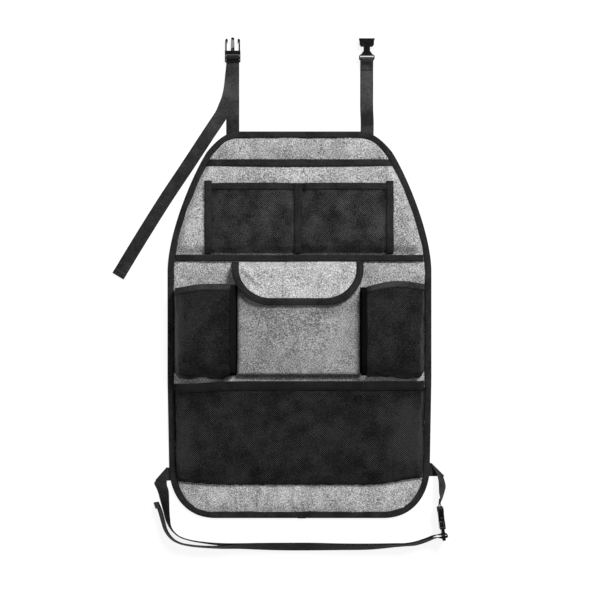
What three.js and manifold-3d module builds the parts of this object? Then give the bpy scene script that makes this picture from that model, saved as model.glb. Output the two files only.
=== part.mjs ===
// A car seat-back organizer lying on its back, face up: a padded panel with sewn-on pockets and straps.
// Millimetres, +Z up. The origin is the middle of the panel's back, +Y runs to its top edge.
import * as THREE from 'three';
import { mergeVertices } from 'three/addons/utils/BufferGeometryUtils.js';
import Module from 'manifold-3d';

const wasm = await Module();
wasm.setup();

// Driving sizes: cloths, tapes and clearances
const GAP = 0.3;
const SEWN_GAP = 0.2;
const LINING = 0.6;
const FACING = 0.6;
const FOAM = 1.8;
const POCKET_CLOTH = 0.8;
const TAPE = 0.8;
const BACKING = 0.4;
const TAPE_WIDTH = 10;
const BINDING_WIDTH = 10;
const SEAM_ALLOWANCE = 8;

// Driving sizes: the panel's outline, from the middle of its back
const PANEL_HALF = 201.8;
const PANEL_LOW_HALF = 199.3;
const PANEL_TOP = 295.3;
const PANEL_BOTTOM = -296;
const TOP_FLAT_HALF = 90;
const SHOULDER = {
  half: 141.5, drop: 31.3, full: 215.3, bend: 22, lead: 15, rise: 13, run: 21.5, fall: 65, ease: 155,
};
const BOTTOM_FLAT_HALF = 128;
const BOTTOM_CORNER = 74;
const BOTTOM_BEND = 48;
const PANEL_LOW_TAPER = -85;
const OUTLINE_STEPS = 84;

// Driving sizes: the document pocket and the divided net pocket on it
const DOCUMENT_DROP = 43.3;
const DOCUMENT_SLACK = 7;
const UPPER_NET = {
  left: -144.6, right: 143.5, divider: -2.5, drop: 79.8, depth: 9, seam: 1.5, swell: 9, shoulder: 22,
};
const UPPER_TAPE_WIDTH = 11.4;
const SIDE_TAPE_RISE = 4;
const DIVIDER_STEP = { start: 4, end: 14 };
const MIDDLE_TAPE_DROP = 188.6;
const MIDDLE_TAPE_CLIMB = 12;
const DOCUMENT_SLOPE = 14;
const BACKING_EASE = 1;

// Driving sizes: the middle pocket with its flap
const MIDDLE_X = -1.3;
const CENTRE_POCKET = { half: 93.2, mouthDrop: 217, depth: 11, crown: 1.1, round: 28 };
const FLAP = { x: -2.7, half: 100.5, length: 72, cornerX: 58, cornerY: 56, hinge: 1.8, ease: 2 };
const PATCH = { width: 50, length: 20, thickness: 1, fromFlapEdge: 14 };

// Driving sizes: the bottle pockets and the wide lower pocket
const BOTTLE = { drop: 234.5, depth: 42, gussetLean: 9, tapeWidth: 9.2, seam: 1 };
const LEFT_BOTTLE = { outer: -8, crown: 0.5, inner: 0, swag: 4.6, corner: 6 };
const RIGHT_BOTTLE = { outer: -1, crown: 5, inner: -4, swag: 3, corner: 8 };
const CLIMB = { foot: 2, low: 4.5, high: 8.5, top: 16 };
const POCKET_BOTTOM_DROP = 372.8;
const LOWER_NET = {
  drop: 381.3, bottomDrop: 539, depth: 15, tapeWidth: 13.6, droop: 4.5, liftRight: 11, liftLeft: 5,
};

// Driving sizes: straps and buckles
const STRAP = {
  width: 20, thickness: 1.2, sewnIn: 27, hem: 9, turnIn: 2.6, foldRun: 17.6, turnOut: 1.1,
};
const TOP_STRAP_X = { left: -102.1, right: 102.8 };
const LOWER_STRAP_Y = { left: -228.7, right: -222 };
const PLUG = {
  half: 11.9, thickness: 5, rail: 1.6, plate: 6.1, frontSlot: 3.6, midBar: 3, rearSlot: 2.9,
  rearBar: 2, rearBarThickness: 1.8, arm: 2.3, armThickness: 3, armLength: 18.4, pad: 3.9,
  padLength: 7.6, tip: 1.2,
  prong: 20.2, prongHalf: 2.8, prongTipHalf: 2.2, prongThickness: 2.4, openSpread: 11.4, closedSpread: 9.1,
};
const SOCKET = {
  half: 11.9, thickness: 9, lobeHalf: 11, lobe: 12.2, neckHalf: 4.9, neckEnd: 19, waistEnd: 23.7,
  waistHalf: 8.1, slotStart: 26.4, bar: 2.4, length: 33, wall: 1.6,
  channelHalf: 3.2, channelDepth: 3.2, channelEnd: 21,
  windowStart: 3.6, windowEnd: 10, windowDepth: 4.6,
};
const PLUG_FROM_TOP = 123.2;
const SOCKET_FROM_TOP = 141.6;
const CLOSED_PAIR = { x: 18.7, y: -14.7, turn: 6.7 };
const LOOP_SLACK = { out: 3.2, lead: 6 };

// Routes of the straps: x and y from a corner or edge, bearing of the width and lean, or x, y and z
const LEFT_RUN = [
  [-13.1, 52.7, 0, 12], [-9.2, 42.8, 3, 28], [-6.4, 27.5, 3, 44], [-4, 12.2, 6, 58],
  [-1.6, -1.6, 14, 66], [1.5, -11.5, 28, 75], [7, -19.9, 44, 79], [16.5, -27.6, 63, 80],
  [31.8, -32.9, 76, 80], [54.7, -36.8, 84, 78], [80.7, -39.5, 87, 73],
];
const LEFT_DOUBLE = [[108.3, -41.2, 89, 69], [141.9, -41.7, 90, 64], [177.1, -42.1, 90, 60]];
const RIGHT_DOUBLE = [
  [-180.2, -42.1, 90, 61], [-137.3, -42.3, 90, 66], [-91.4, -42, 90, 68], [-53.2, -39.8, 93, 77],
  [-37.9, -39, 96, 75], [-22.6, -37.1, 103, 71],
];
const INTO_PLUG = [[-7.6, -32.2, 111, 71, 10.1], [6.6, -25.6, 109, 79, 11.2]];
const OUT_OF_PLUG = [[7.6, -29.1, 106, 79, 11.2], [-7, -34, 109, 71, 10.1]];
const LOWER_TAIL = [
  [80.7, -43.6, 88, 75], [54.7, -43, 86, 80], [31.8, -40.8, 78, 81], [16.5, -37.3, 64, 82],
  [5, -30.7, 48, 80], [-4.2, -18.4, 32, 78], [-9.1, -3.1, 22, 76], [-13.4, 12.2, 18, 75],
  [-18.4, 24.5, 19, 75],
];
const LOWER_TAIL_HEADING = 109;
const UPPER_TAIL = [
  [-0.1, 100.2, -5, 1], [-1.5, 86.4, -7, 1], [-4.2, 63.5, -10, 1], [-7.9, 48.2, -19, 1],
  [-12.2, 37.5, -23, 1], [-16.8, 26.8, -30, 0.9], [-22.6, 17.6, -34, 0.6], [-37, -3.8, -33, 0],
  [-67, -49.7, -33, 0],
  [-103.7, -104.8, -33, 0], [-149.6, -178.3, -32, 0], [-174.8, -220.3, -31, 0],
];
const UPPER_TAIL_HEADING = 239;
const SHORT_OUTER = [
  [20.9, 61.9, 1.8], [22.1, 58.1, 1.2], [23.3, 53.5, 0.9], [24.1, 47.4, 0.9], [22.2, 39.7, 1.1],
  [19.6, 31.5, 1.6], [16.2, 23, 1.9],
];
const SHORT_INNER = [
  [5.7, 76.4, 5], [10.3, 68, 11], [12.6, 58.1, 16.5], [13.1, 47.4, 17.7], [13.5, 39.7, 19],
  [14.9, 31.5, 21], [14.1, 23, 21.8],
];

// Heights of the layers above the surface that the panel lies on
const FIELD_TOP = LINING + FOAM + FACING;
const MARGIN_LOW = TAPE;
const MARGIN_FACING = MARGIN_LOW + LINING;
const MARGIN_POCKET = MARGIN_FACING + FACING;
const FLANGE_LOW = MARGIN_POCKET + POCKET_CLOTH;
const BINDING_TOP = FLANGE_LOW + TAPE;
const DOCUMENT_Z = FIELD_TOP + DOCUMENT_SLACK;
const ON_DOCUMENT = DOCUMENT_Z + POCKET_CLOTH + BACKING + GAP;

// Places down the panel
const DOCUMENT_MOUTH = PANEL_TOP - DOCUMENT_DROP;
const UPPER_MOUTH = PANEL_TOP - UPPER_NET.drop;
const MIDDLE_TAPE_TOP = PANEL_TOP - MIDDLE_TAPE_DROP;
const MIDDLE_TAPE_LOW = MIDDLE_TAPE_TOP - TAPE_WIDTH;
const FLAP_END = MIDDLE_TAPE_LOW + TAPE_WIDTH / 2 - FLAP.length;
const CENTRE_MOUTH = PANEL_TOP - CENTRE_POCKET.mouthDrop;
const BOTTLE_MOUTH = PANEL_TOP - BOTTLE.drop;
const POCKETS_LOW = PANEL_TOP - POCKET_BOTTOM_DROP;
const LOWER_MOUTH = PANEL_TOP - LOWER_NET.drop;
const LOWER_END = PANEL_TOP - LOWER_NET.bottomDrop;

// Insets from the panel's edge at which the layers come up out of the binding
const MARGIN_INSET = 1 + TAPE + SEWN_GAP;
const FACING_STEP = BINDING_WIDTH + 1.8;
const POCKET_STEP = BINDING_WIDTH + 0.8;
const FOAM_INSET = FACING_STEP + 1.2;

const colours = {
  melange: 0x9b9c9e, black: 0x1a1b1d, lining: 0x2c2d30, foam: 0x55565a, tape: 0x26272b,
  net: 0x2e2f33, webbing: 0x2b2c30, plastic: 0x1d1e21, hook: 0x232428,
};

function material(colour, roughness = 0.9) {
  return new THREE.MeshStandardMaterial({ color: colour, roughness, metalness: 0 });
}

const organizer = new THREE.Group();

function add(name, geometry, colour, roughness, parent = organizer) {
  const mesh = new THREE.Mesh(geometry, material(colour, roughness));
  mesh.name = name;
  parent.add(mesh);
  return mesh;
}

// Closed solids from lists of points and faces

function solid(points, faces) {
  let volume = 0;
  for (const [a, b, c] of faces) volume += points[a].dot(points[b].clone().cross(points[c]));
  const out = volume > 0 ? faces : faces.map(([a, b, c]) => [a, c, b]);
  const geometry = new THREE.BufferGeometry();
  geometry.setAttribute('position', new THREE.Float32BufferAttribute(points.flatMap((p) => p.toArray()), 3));
  geometry.setIndex(out.flat());
  return geometry;
}

function quad(a, b, c, d) {
  return [[a, b, c], [a, c, d]];
}

// Rings of equal length joined one to the next, with the first and last capped or joined to each other.
function loft(rings, profile, closed = false) {
  const size = rings[0].length;
  const faces = [];
  const last = closed ? rings.length : rings.length - 1;
  for (let r = 0; r < last; r++) {
    const next = (r + 1) % rings.length;
    for (let i = 0; i < size; i++) {
      const j = (i + 1) % size;
      faces.push(...quad(r * size + i, r * size + j, next * size + j, next * size + i));
    }
  }
  if (!closed) {
    const cap = THREE.ShapeUtils.triangulateShape(profile, []);
    const end = (rings.length - 1) * size;
    for (const [a, b, c] of cap) faces.push([a, c, b], [end + a, end + b, end + c]);
  }
  return solid(rings.flat(), faces);
}

function normalAt(grid, r, c) {
  const across = grid[r][Math.min(c + 1, grid[r].length - 1)].clone().sub(grid[r][Math.max(c - 1, 0)]);
  const up = grid[Math.max(r - 1, 0)][c].clone().sub(grid[Math.min(r + 1, grid.length - 1)][c]);
  return across.cross(up).normalize();
}

// A cloth whose under face is the grid, rows running down it and columns across it towards +X.
function cloth(grid, thickness) {
  const rows = grid.length;
  const cols = grid[0].length;
  const top = grid.map((row, r) =>
    row.map((p, c) => p.clone().addScaledVector(normalAt(grid, r, c), thickness)));
  const low = (r, c) => r * cols + c;
  const high = (r, c) => rows * cols + r * cols + c;
  const faces = [];
  for (let r = 0; r < rows - 1; r++) {
    for (let c = 0; c < cols - 1; c++) {
      faces.push(...quad(high(r, c), high(r + 1, c), high(r + 1, c + 1), high(r, c + 1)));
      faces.push(...quad(low(r, c), low(r, c + 1), low(r + 1, c + 1), low(r + 1, c)));
    }
    faces.push(...quad(low(r, 0), low(r + 1, 0), high(r + 1, 0), high(r, 0)));
    faces.push(...quad(low(r, cols - 1), high(r, cols - 1), high(r + 1, cols - 1), low(r + 1, cols - 1)));
  }
  for (let c = 0; c < cols - 1; c++) {
    faces.push(...quad(low(0, c), high(0, c), high(0, c + 1), low(0, c + 1)));
    faces.push(...quad(low(rows - 1, c), low(rows - 1, c + 1), high(rows - 1, c + 1), high(rows - 1, c)));
  }
  return solid([...grid.flat(), ...top.flat()], faces);
}

// A tape folded over the first row of a cloth's grid, gripping the cloth between its two legs.
function foldedTape(grid, width, from, to) {
  const frames = [];
  for (let c = from; c <= to; c++) {
    const into = grid[1][c].clone().sub(grid[0][c]).normalize();
    frames.push({ edge: grid[0][c], normal: normalAt(grid, 0, c), into });
  }
  return foldedAlong(frames, width);
}

function foldedAlong(frames, width, ease = SEWN_GAP) {
  const inner = POCKET_CLOTH / 2 + ease;
  const outer = inner + TAPE;
  const profile = [
    [width, outer], [0, outer], [-TAPE, inner], [-TAPE, -inner], [0, -outer], [width, -outer],
    [width, -inner], [0, -inner], [0, inner], [width, inner],
  ].map(([d, n]) => new THREE.Vector2(d, n));
  return loft(frames.map(({ edge, normal, into }) => {
    const middle = edge.clone().addScaledVector(normal, POCKET_CLOTH / 2).addScaledVector(into, -SEWN_GAP);
    return profile.map((p) => middle.clone().addScaledVector(into, p.x).addScaledVector(normal, p.y));
  }), profile);
}

function block(x, y, z, cx, cy, cz) {
  const geometry = new THREE.BoxGeometry(x, y, z);
  geometry.translate(cx, cy, cz);
  return geometry;
}

function extruded(outline, holes, thickness) {
  const shape = new THREE.Shape(outline);
  for (const hole of holes) shape.holes.push(new THREE.Path(hole));
  return new THREE.ExtrudeGeometry(shape, { depth: thickness, bevelEnabled: false, curveSegments: 6 });
}

// Cutting with manifold-3d

function bare(geometry) {
  const copy = geometry.clone();
  copy.deleteAttribute('normal');
  copy.deleteAttribute('uv');
  return mergeVertices(copy, 1e-4);
}

function toManifold(geometry) {
  const g = bare(geometry);
  return new wasm.Manifold(new wasm.Mesh({
    numProp: 3,
    vertProperties: new Float32Array(g.attributes.position.array),
    triVerts: new Uint32Array(g.index.array),
  }));
}

function fromManifold(body) {
  const mesh = body.getMesh();
  const geometry = new THREE.BufferGeometry();
  geometry.setAttribute('position', new THREE.BufferAttribute(new Float32Array(mesh.vertProperties), 3));
  geometry.setIndex(new THREE.BufferAttribute(new Uint32Array(mesh.triVerts), 1));
  return geometry;
}

function cut(geometry, tools) {
  return fromManifold(tools.reduce((body, tool) => body.subtract(toManifold(tool)), toManifold(geometry)));
}

// The panel's outline

const panelShape = new THREE.Shape();
panelShape.moveTo(TOP_FLAT_HALF, PANEL_TOP);
panelShape.bezierCurveTo(TOP_FLAT_HALF + SHOULDER.bend, PANEL_TOP, SHOULDER.half - SHOULDER.lead,
  PANEL_TOP - SHOULDER.rise, SHOULDER.half, PANEL_TOP - SHOULDER.drop);
panelShape.bezierCurveTo(SHOULDER.half + SHOULDER.run, PANEL_TOP - SHOULDER.fall, PANEL_HALF,
  PANEL_TOP - SHOULDER.ease, PANEL_HALF, PANEL_TOP - SHOULDER.full);
panelShape.lineTo(PANEL_HALF, PANEL_LOW_TAPER);
panelShape.lineTo(PANEL_LOW_HALF, PANEL_BOTTOM + BOTTOM_CORNER);
panelShape.bezierCurveTo(PANEL_LOW_HALF - 2, PANEL_BOTTOM + BOTTOM_CORNER / 2,
  BOTTOM_FLAT_HALF + BOTTOM_BEND, PANEL_BOTTOM, BOTTOM_FLAT_HALF, PANEL_BOTTOM);
panelShape.lineTo(0, PANEL_BOTTOM);

const halfOutline = panelShape.getSpacedPoints(OUTLINE_STEPS / 2).filter((p) => p.x > 1e-6);
const edgeRing = [
  new THREE.Vector2(0, PANEL_TOP), ...halfOutline, new THREE.Vector2(0, PANEL_BOTTOM),
  ...halfOutline.map((p) => new THREE.Vector2(-p.x, p.y)).reverse(),
];

function insetRing(inset) {
  const count = edgeRing.length;
  return edgeRing.map((p, i) => {
    const along = edgeRing[(i + 1) % count].clone().sub(edgeRing[(i + count - 1) % count]).normalize();
    return new THREE.Vector2(p.x + along.y * inset, p.y - along.x * inset);
  });
}

// Half the panel's width at a height, measured to a line that runs at an inset inside its edge.
function halfWidth(y, inset) {
  const ring = insetRing(inset);
  for (let i = 1; i <= halfOutline.length; i++) {
    const [a, b] = [ring[i], ring[i + 1]];
    if (a.y >= y && b.y < y) return a.x + ((b.x - a.x) * (a.y - y)) / (a.y - b.y);
  }
  return 0;
}

// A sheet of the panel's outline whose faces change height at insets from its edge.
function panelLayer(steps) {
  const count = edgeRing.length;
  const points = [];
  for (const [inset, low, high] of steps) {
    for (const p of insetRing(inset)) points.push(new THREE.Vector3(p.x, p.y, low));
    for (const p of insetRing(inset)) points.push(new THREE.Vector3(p.x, p.y, high));
  }
  const faces = [];
  for (let i = 0; i < count; i++) {
    const j = (i + 1) % count;
    faces.push(...quad(i, j, count + j, count + i));
    for (let s = 0; s < steps.length - 1; s++) {
      const base = s * 2 * count;
      const next = base + 2 * count;
      faces.push(...quad(base + i, next + i, next + j, base + j));
      faces.push(...quad(base + count + i, base + count + j, next + count + j, next + count + i));
    }
  }
  const inside = (steps.length - 1) * 2 * count;
  const ring = insetRing(steps[steps.length - 1][0]);
  for (const [a, b, c] of THREE.ShapeUtils.triangulateShape(ring, [])) {
    faces.push([inside + a, inside + b, inside + c]);
    faces.push([inside + count + a, inside + count + c, inside + count + b]);
  }
  return solid(points, faces);
}

function edgeBinding() {
  const profile = [
    [0.4, 0.3], [0, BINDING_TOP / 2], [0.4, BINDING_TOP - 0.3], [1, BINDING_TOP],
    [BINDING_WIDTH, BINDING_TOP], [BINDING_WIDTH, FLANGE_LOW], [1 + TAPE, FLANGE_LOW],
    [1 + TAPE, MARGIN_LOW], [BINDING_WIDTH, MARGIN_LOW], [BINDING_WIDTH, 0], [1, 0],
  ].map(([inset, z]) => new THREE.Vector2(inset, z));
  const rings = profile.map((p) => insetRing(p.x).map((q) => new THREE.Vector3(q.x, q.y, p.y)));
  const around = edgeRing.map((_, i) => rings.map((ring) => ring[i]));
  return loft(around, profile, true);
}

// Seats pressed into the back for the sewn ends of the four straps
const SEAT_DEPTH = STRAP.thickness + GAP;

function strapSeats() {
  const seatWidth = STRAP.width + 2 * GAP;
  const reach = STRAP.sewnIn + 2 * GAP;
  const seats = [];
  for (const x of [TOP_STRAP_X.left, TOP_STRAP_X.right]) {
    seats.push(block(seatWidth, 2 * reach, 2 * SEAT_DEPTH, x, PANEL_TOP, 0));
  }
  for (const [side, y] of [[-1, LOWER_STRAP_Y.left], [1, LOWER_STRAP_Y.right]]) {
    seats.push(block(2 * reach, seatWidth, 2 * SEAT_DEPTH, side * PANEL_LOW_HALF, y, 0));
  }
  return seats;
}

const seats = strapSeats();
const backCloth = panelLayer([
  [MARGIN_INSET, MARGIN_LOW, MARGIN_FACING], [FACING_STEP, MARGIN_LOW, MARGIN_FACING],
  [FOAM_INSET, 0, LINING],
]);
const foamPad = panelLayer([[FOAM_INSET + GAP, LINING, LINING + FOAM]]);
const frontCloth = panelLayer([
  [MARGIN_INSET, MARGIN_FACING, MARGIN_POCKET], [FACING_STEP, MARGIN_FACING, MARGIN_POCKET],
  [FOAM_INSET, LINING + FOAM, FIELD_TOP],
]);
add('back_cloth', cut(backCloth, seats), colours.lining);
add('foam_pad', cut(foamPad, seats), colours.foam);
add('front_cloth', cut(frontCloth, seats), colours.melange);
add('edge_binding', cut(edgeBinding(), seats), colours.tape, 0.8);

// The document pocket: a full-width cloth caught in the edge binding, slack over the panel

function point(x, y, z) {
  return new THREE.Vector3(x, y, z);
}

const DOCUMENT_FOOT = MIDDLE_TAPE_TOP + 1.5;
const DOCUMENT_TOE = DOCUMENT_FOOT + DOCUMENT_SLOPE;

function documentGrid() {
  const mouth = DOCUMENT_MOUTH - TAPE;
  const rows = [mouth, mouth - TAPE_WIDTH - 2.5];
  for (const t of [0.3, 0.42, 0.56, 0.7, 0.85]) rows.push(mouth + (DOCUMENT_TOE - mouth) * t);
  rows.push(DOCUMENT_TOE, DOCUMENT_FOOT, MIDDLE_TAPE_LOW + GAP);
  return rows.map((y) => {
    const down = y <= DOCUMENT_FOOT ? 0 : 1;
    const lift = FIELD_TOP + DOCUMENT_SLACK * down;
    const near = FIELD_TOP + GAP + (DOCUMENT_SLACK - GAP) * 0.25 * down - GAP * (1 - down);
    const edge = [[MARGIN_INSET, MARGIN_POCKET], [POCKET_STEP, MARGIN_POCKET], [POCKET_STEP + 1.6, near],
      [POCKET_STEP + 9, lift]];
    const left = edge.map(([inset, z]) => point(-halfWidth(y, inset), y, z));
    const right = edge.map(([inset, z]) => point(halfWidth(y, inset), y, z)).reverse();
    const inner = halfWidth(y, POCKET_STEP + 9);
    const slack = y > UPPER_MOUTH + 2 ? 0.9 : 0;
    const middle = [-0.75, -0.5, -0.25, 0, 0.25, 0.5, 0.75].map((t) => {
      return point(inner * t, y, lift + slack * Math.sin(t * 11));
    });
    return [...left, ...middle, ...right];
  });
}

const documentCloth = documentGrid();
add('document_pocket', cloth(documentCloth, POCKET_CLOTH), colours.melange);
add('document_pocket_tape', foldedTape(documentCloth, TAPE_WIDTH + 1, 2, documentCloth[0].length - 3),
  colours.tape, 0.8);

// The divided net pocket on the document pocket

const NET_ROWS = [0, 0.11, 0.24, 0.4, 0.6, 0.8].map((t) =>
  UPPER_MOUTH - TAPE + (DOCUMENT_TOE - UPPER_MOUTH) * t);

const FOOT_STACK = POCKET_CLOTH + BACKING + SEWN_GAP + GAP;

function documentFaceZ(y) {
  return y <= DOCUMENT_FOOT ? FIELD_TOP + FOOT_STACK : ON_DOCUMENT;
}

const NET_EDGE = UPPER_TAPE_WIDTH / 2;
const NET_MARGIN_Z = TAPE + 2 * SEWN_GAP;

function upperNetGrid() {
  const rows = [...NET_ROWS, DOCUMENT_TOE, DOCUMENT_FOOT, MIDDLE_TAPE_LOW + TAPE_WIDTH / 2 + GAP];
  const { left, right, divider, depth } = UPPER_NET;
  const { seam, swell, shoulder } = UPPER_NET;
  const bay = (from, to) => [
    [from, 0, 1], [from + seam, 0.08, 1], [from + swell, 0.8, 1], [from + shoulder, 1, 1],
    [(from + to) / 2, 1.06, 1], [to - shoulder, 1, 1], [to - swell, 0.8, 1], [to - seam, 0.08, 1],
    [to, 0, 1],
  ];
  const [inLeft, inRight] = [left + UPPER_TAPE_WIDTH, right - UPPER_TAPE_WIDTH];
  const columns = [
    [left, 0, 0], [inLeft, 0, 0], ...bay(inLeft + 2, divider - NET_EDGE - 1),
    ...bay(divider + NET_EDGE + 1, inRight - 2), [inRight, 0, 0], [right, 0, 0],
  ];
  return rows.map((y) => {
    const full = y <= DOCUMENT_FOOT ? 0 : y <= DOCUMENT_TOE ? 0.62 : 1;
    return columns.map(([x, rise, inTape]) =>
      point(x, y, documentFaceZ(y) + full * (depth * rise + NET_MARGIN_Z * inTape)));
  });
}

// A cloth laid flat across, given by stations down it: place, left edge, right edge and height.
function flatCloth(stations, thickness) {
  return cloth(stations.map(([y, left, right, z]) =>
    [point(left, y, z), point((left + right) / 2, y, z), point(right, y, z)]), thickness);
}

const BACKING_Z = DOCUMENT_Z + POCKET_CLOTH;
const BACKING_LIFT = 0.23;
const FOOT_BACKING_Z = FIELD_TOP + POCKET_CLOTH + BACKING_LIFT
  + (BACKING_EASE * DOCUMENT_SLACK) / DOCUMENT_SLOPE;
const upperBacking = [
  [UPPER_MOUTH - TAPE_WIDTH / 2, BACKING_Z], [(UPPER_MOUTH + DOCUMENT_TOE) / 2, BACKING_Z],
  [DOCUMENT_TOE + BACKING_EASE, BACKING_Z], [DOCUMENT_TOE, BACKING_Z + BACKING_LIFT],
  [DOCUMENT_FOOT + BACKING_EASE, FOOT_BACKING_Z],
];
add('upper_net_backing', flatCloth(upperBacking.map(([y, z]) =>
  [y, UPPER_NET.left + 2, UPPER_NET.right - 2, z]), BACKING), colours.black);

const upperNet = upperNetGrid();
add('upper_net', cloth(upperNet, POCKET_CLOTH), colours.net);
add('upper_net_top_tape', foldedTape(upperNet, TAPE_WIDTH, 2, upperNet[0].length - 3), colours.tape, 0.8);

// A flat tape laid down a pocket's seam, its height above the document pocket given by stations down it.
function seamTape(left, right, stations) {
  return flatCloth(stations.map(([y, z]) => [y, left, right, z]), TAPE);
}

const SEAM_Z = POCKET_CLOTH + GAP;
const seamStations = [
  [UPPER_MOUTH + SIDE_TAPE_RISE, ON_DOCUMENT + SEAM_Z], [DOCUMENT_TOE, ON_DOCUMENT + SEAM_Z],
  [DOCUMENT_FOOT, documentFaceZ(DOCUMENT_FOOT) + SEAM_Z],
];
const sideTape = (left) => seamTape(left, left + UPPER_TAPE_WIDTH, seamStations);
add('upper_net_left_tape', sideTape(UPPER_NET.left), colours.tape, 0.8);
add('upper_net_right_tape', sideTape(UPPER_NET.right - UPPER_TAPE_WIDTH), colours.tape, 0.8);
const OVER_TAPE = ON_DOCUMENT + NET_MARGIN_Z + POCKET_CLOTH + SEWN_GAP + TAPE + GAP;
add('upper_net_divider', seamTape(UPPER_NET.divider - NET_EDGE, UPPER_NET.divider + NET_EDGE, [
  [UPPER_MOUTH, OVER_TAPE], [UPPER_MOUTH - TAPE_WIDTH - DIVIDER_STEP.start, OVER_TAPE],
  [UPPER_MOUTH - TAPE_WIDTH - DIVIDER_STEP.end, ON_DOCUMENT + NET_MARGIN_Z + SEAM_Z],
  [DOCUMENT_TOE, ON_DOCUMENT + NET_MARGIN_Z + SEAM_Z],
  [DOCUMENT_FOOT, documentFaceZ(DOCUMENT_FOOT) + SEAM_Z],
]), colours.tape, 0.8);

// The middle tape covers the foot of the upper pockets and the head of the flap
const MIDDLE_TAPE_Z = FIELD_TOP + FOOT_STACK + POCKET_CLOTH + GAP;
const middleHalf = halfWidth(MIDDLE_TAPE_TOP, BINDING_WIDTH + GAP);
add('middle_tape', cloth([MIDDLE_TAPE_TOP, MIDDLE_TAPE_LOW].map((y) => [
  point(-middleHalf, y, FIELD_TOP + POCKET_CLOTH + GAP),
  point(UPPER_NET.left - MIDDLE_TAPE_CLIMB, y, MIDDLE_TAPE_Z),
  point(UPPER_NET.right + MIDDLE_TAPE_CLIMB, y, MIDDLE_TAPE_Z),
  point(middleHalf, y, FIELD_TOP + POCKET_CLOTH + GAP),
]), TAPE), colours.tape, 0.8);

// The centre pocket: a flat front on upright sides, open under the flap

function centrePocketGrid() {
  const { half, depth, crown } = CENTRE_POCKET;
  const rows = [[CENTRE_MOUTH, 1], [CENTRE_MOUTH - 30, 1], [(CENTRE_MOUTH + POCKETS_LOW) / 2, 1.05],
    [POCKETS_LOW + CENTRE_POCKET.round, 1], [POCKETS_LOW + 4, 0.9], [POCKETS_LOW + 0.8, 0.55],
    [POCKETS_LOW, 0], [POCKETS_LOW - 3.2, 0]];
  const side = [[1, 0], [1, 0.45], [0.992, 0.85], [0.96, 1], [0.6, crown - 0.04], [0.3, crown]];
  const columns = [...side.map(([x, rise]) => [-x, rise]), ...side.reverse()];
  return rows.map(([y, share]) => columns.map(([x, rise]) =>
    point(MIDDLE_X + half * x, y, FIELD_TOP + depth * rise * share)));
}

add('centre_pocket', cloth(centrePocketGrid(), POCKET_CLOTH), colours.melange);

// The flap over the centre pocket, held shut by a pair of hook-and-loop patches
const POCKET_FACE = FIELD_TOP + CENTRE_POCKET.depth * CENTRE_POCKET.crown + POCKET_CLOTH;
const LOOP_Z = POCKET_FACE + GAP;
const HOOK_Z = LOOP_Z + PATCH.thickness + GAP;
const FLAP_Z = HOOK_Z + PATCH.thickness + SEWN_GAP;

function flapGrid() {
  const edge = TAPE + SEWN_GAP;
  const half = FLAP.half - edge;
  const low = FLAP_END + edge;
  const cornerTop = low + FLAP.cornerY;
  const head = FIELD_TOP + POCKET_CLOTH + GAP;
  const rows = [[MIDDLE_TAPE_LOW + TAPE_WIDTH / 2 - GAP, half, head],
    [MIDDLE_TAPE_LOW - FLAP.hinge, half, head], [cornerTop - FLAP.ease, half - 0.2, FLAP_Z - 0.4]];
  for (const angle of [10, 22, 34, 46, 58, 72, 90].map(THREE.MathUtils.degToRad)) {
    const y = low + FLAP.cornerY * (1 - Math.sin(angle));
    rows.push([y, half - FLAP.cornerX * (1 - Math.cos(angle)), FLAP_Z]);
  }
  const shares = [-1, -0.86, -0.6, -0.3, 0, 0.3, 0.6, 0.86, 1];
  return rows.map(([y, w, z]) => shares.map((t) => point(FLAP.x + w * t, y, z)));
}

// The frames of a cloth's free edge: down its first column, along its last row and up its last column.
function freeEdge(grid, firstRow) {
  const frames = [];
  const last = grid.length - 1;
  const cols = grid[0].length - 1;
  for (let r = firstRow; r < last; r++) frames.push([r, 0]);
  for (let c = 0; c <= cols; c++) frames.push([last, c]);
  for (let r = last - 1; r >= firstRow; r--) frames.push([r, cols]);
  return frames;
}

function boundEdge(grid, firstRow, width) {
  const cells = freeEdge(grid, firstRow);
  const at = (k) => grid[cells[k][0]][cells[k][1]];
  return foldedAlong(cells.map(([r, c], k) => {
    const normal = normalAt(grid, r, c);
    const along = at(Math.min(k + 1, cells.length - 1)).clone().sub(at(Math.max(k - 1, 0))).normalize();
    return { edge: at(k), normal, into: normal.clone().cross(along).normalize() };
  }), width, 2 * SEWN_GAP);
}

const flapCloth = flapGrid();
add('flap', cloth(flapCloth, POCKET_CLOTH), colours.melange);
add('flap_binding', boundEdge(flapCloth, 1, TAPE_WIDTH), colours.tape, 0.8);
const patchY = FLAP_END + PATCH.fromFlapEdge + PATCH.length / 2;
for (const [name, z] of [['pocket_loop_patch', LOOP_Z], ['flap_hook_patch', HOOK_Z]]) {
  add(name, block(PATCH.width, PATCH.length, PATCH.thickness, MIDDLE_X, patchY, z + PATCH.thickness / 2),
    colours.hook);
}

// The bottle pockets: a net front, a cloth gusset on the side towards the middle and an elastic mouth

const GUSSET_FOOT = CENTRE_POCKET.half + POCKET_CLOTH + GAP + POCKET_CLOTH;
const NET_Z = FIELD_TOP + BACKING + SEWN_GAP;

// A net's climb out of the edge binding: inset from the panel's edge and share of the full depth.
const NET_CLIMB = [[CLIMB.foot, 0.1], [CLIMB.low, 0.55], [CLIMB.high, 0.9], [CLIMB.top, 1]].map(
  ([inset, share]) => [POCKET_STEP + inset, share]);
const ROUNDED_FOOT = [[0, 1], [0.11, 1], [0.3, 1.02], [0.52, 1.02], [0.7, 1], [0.82, 0.92], [0.91, 0.74],
  [0.97, 0.48], [1, 0]];

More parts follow.
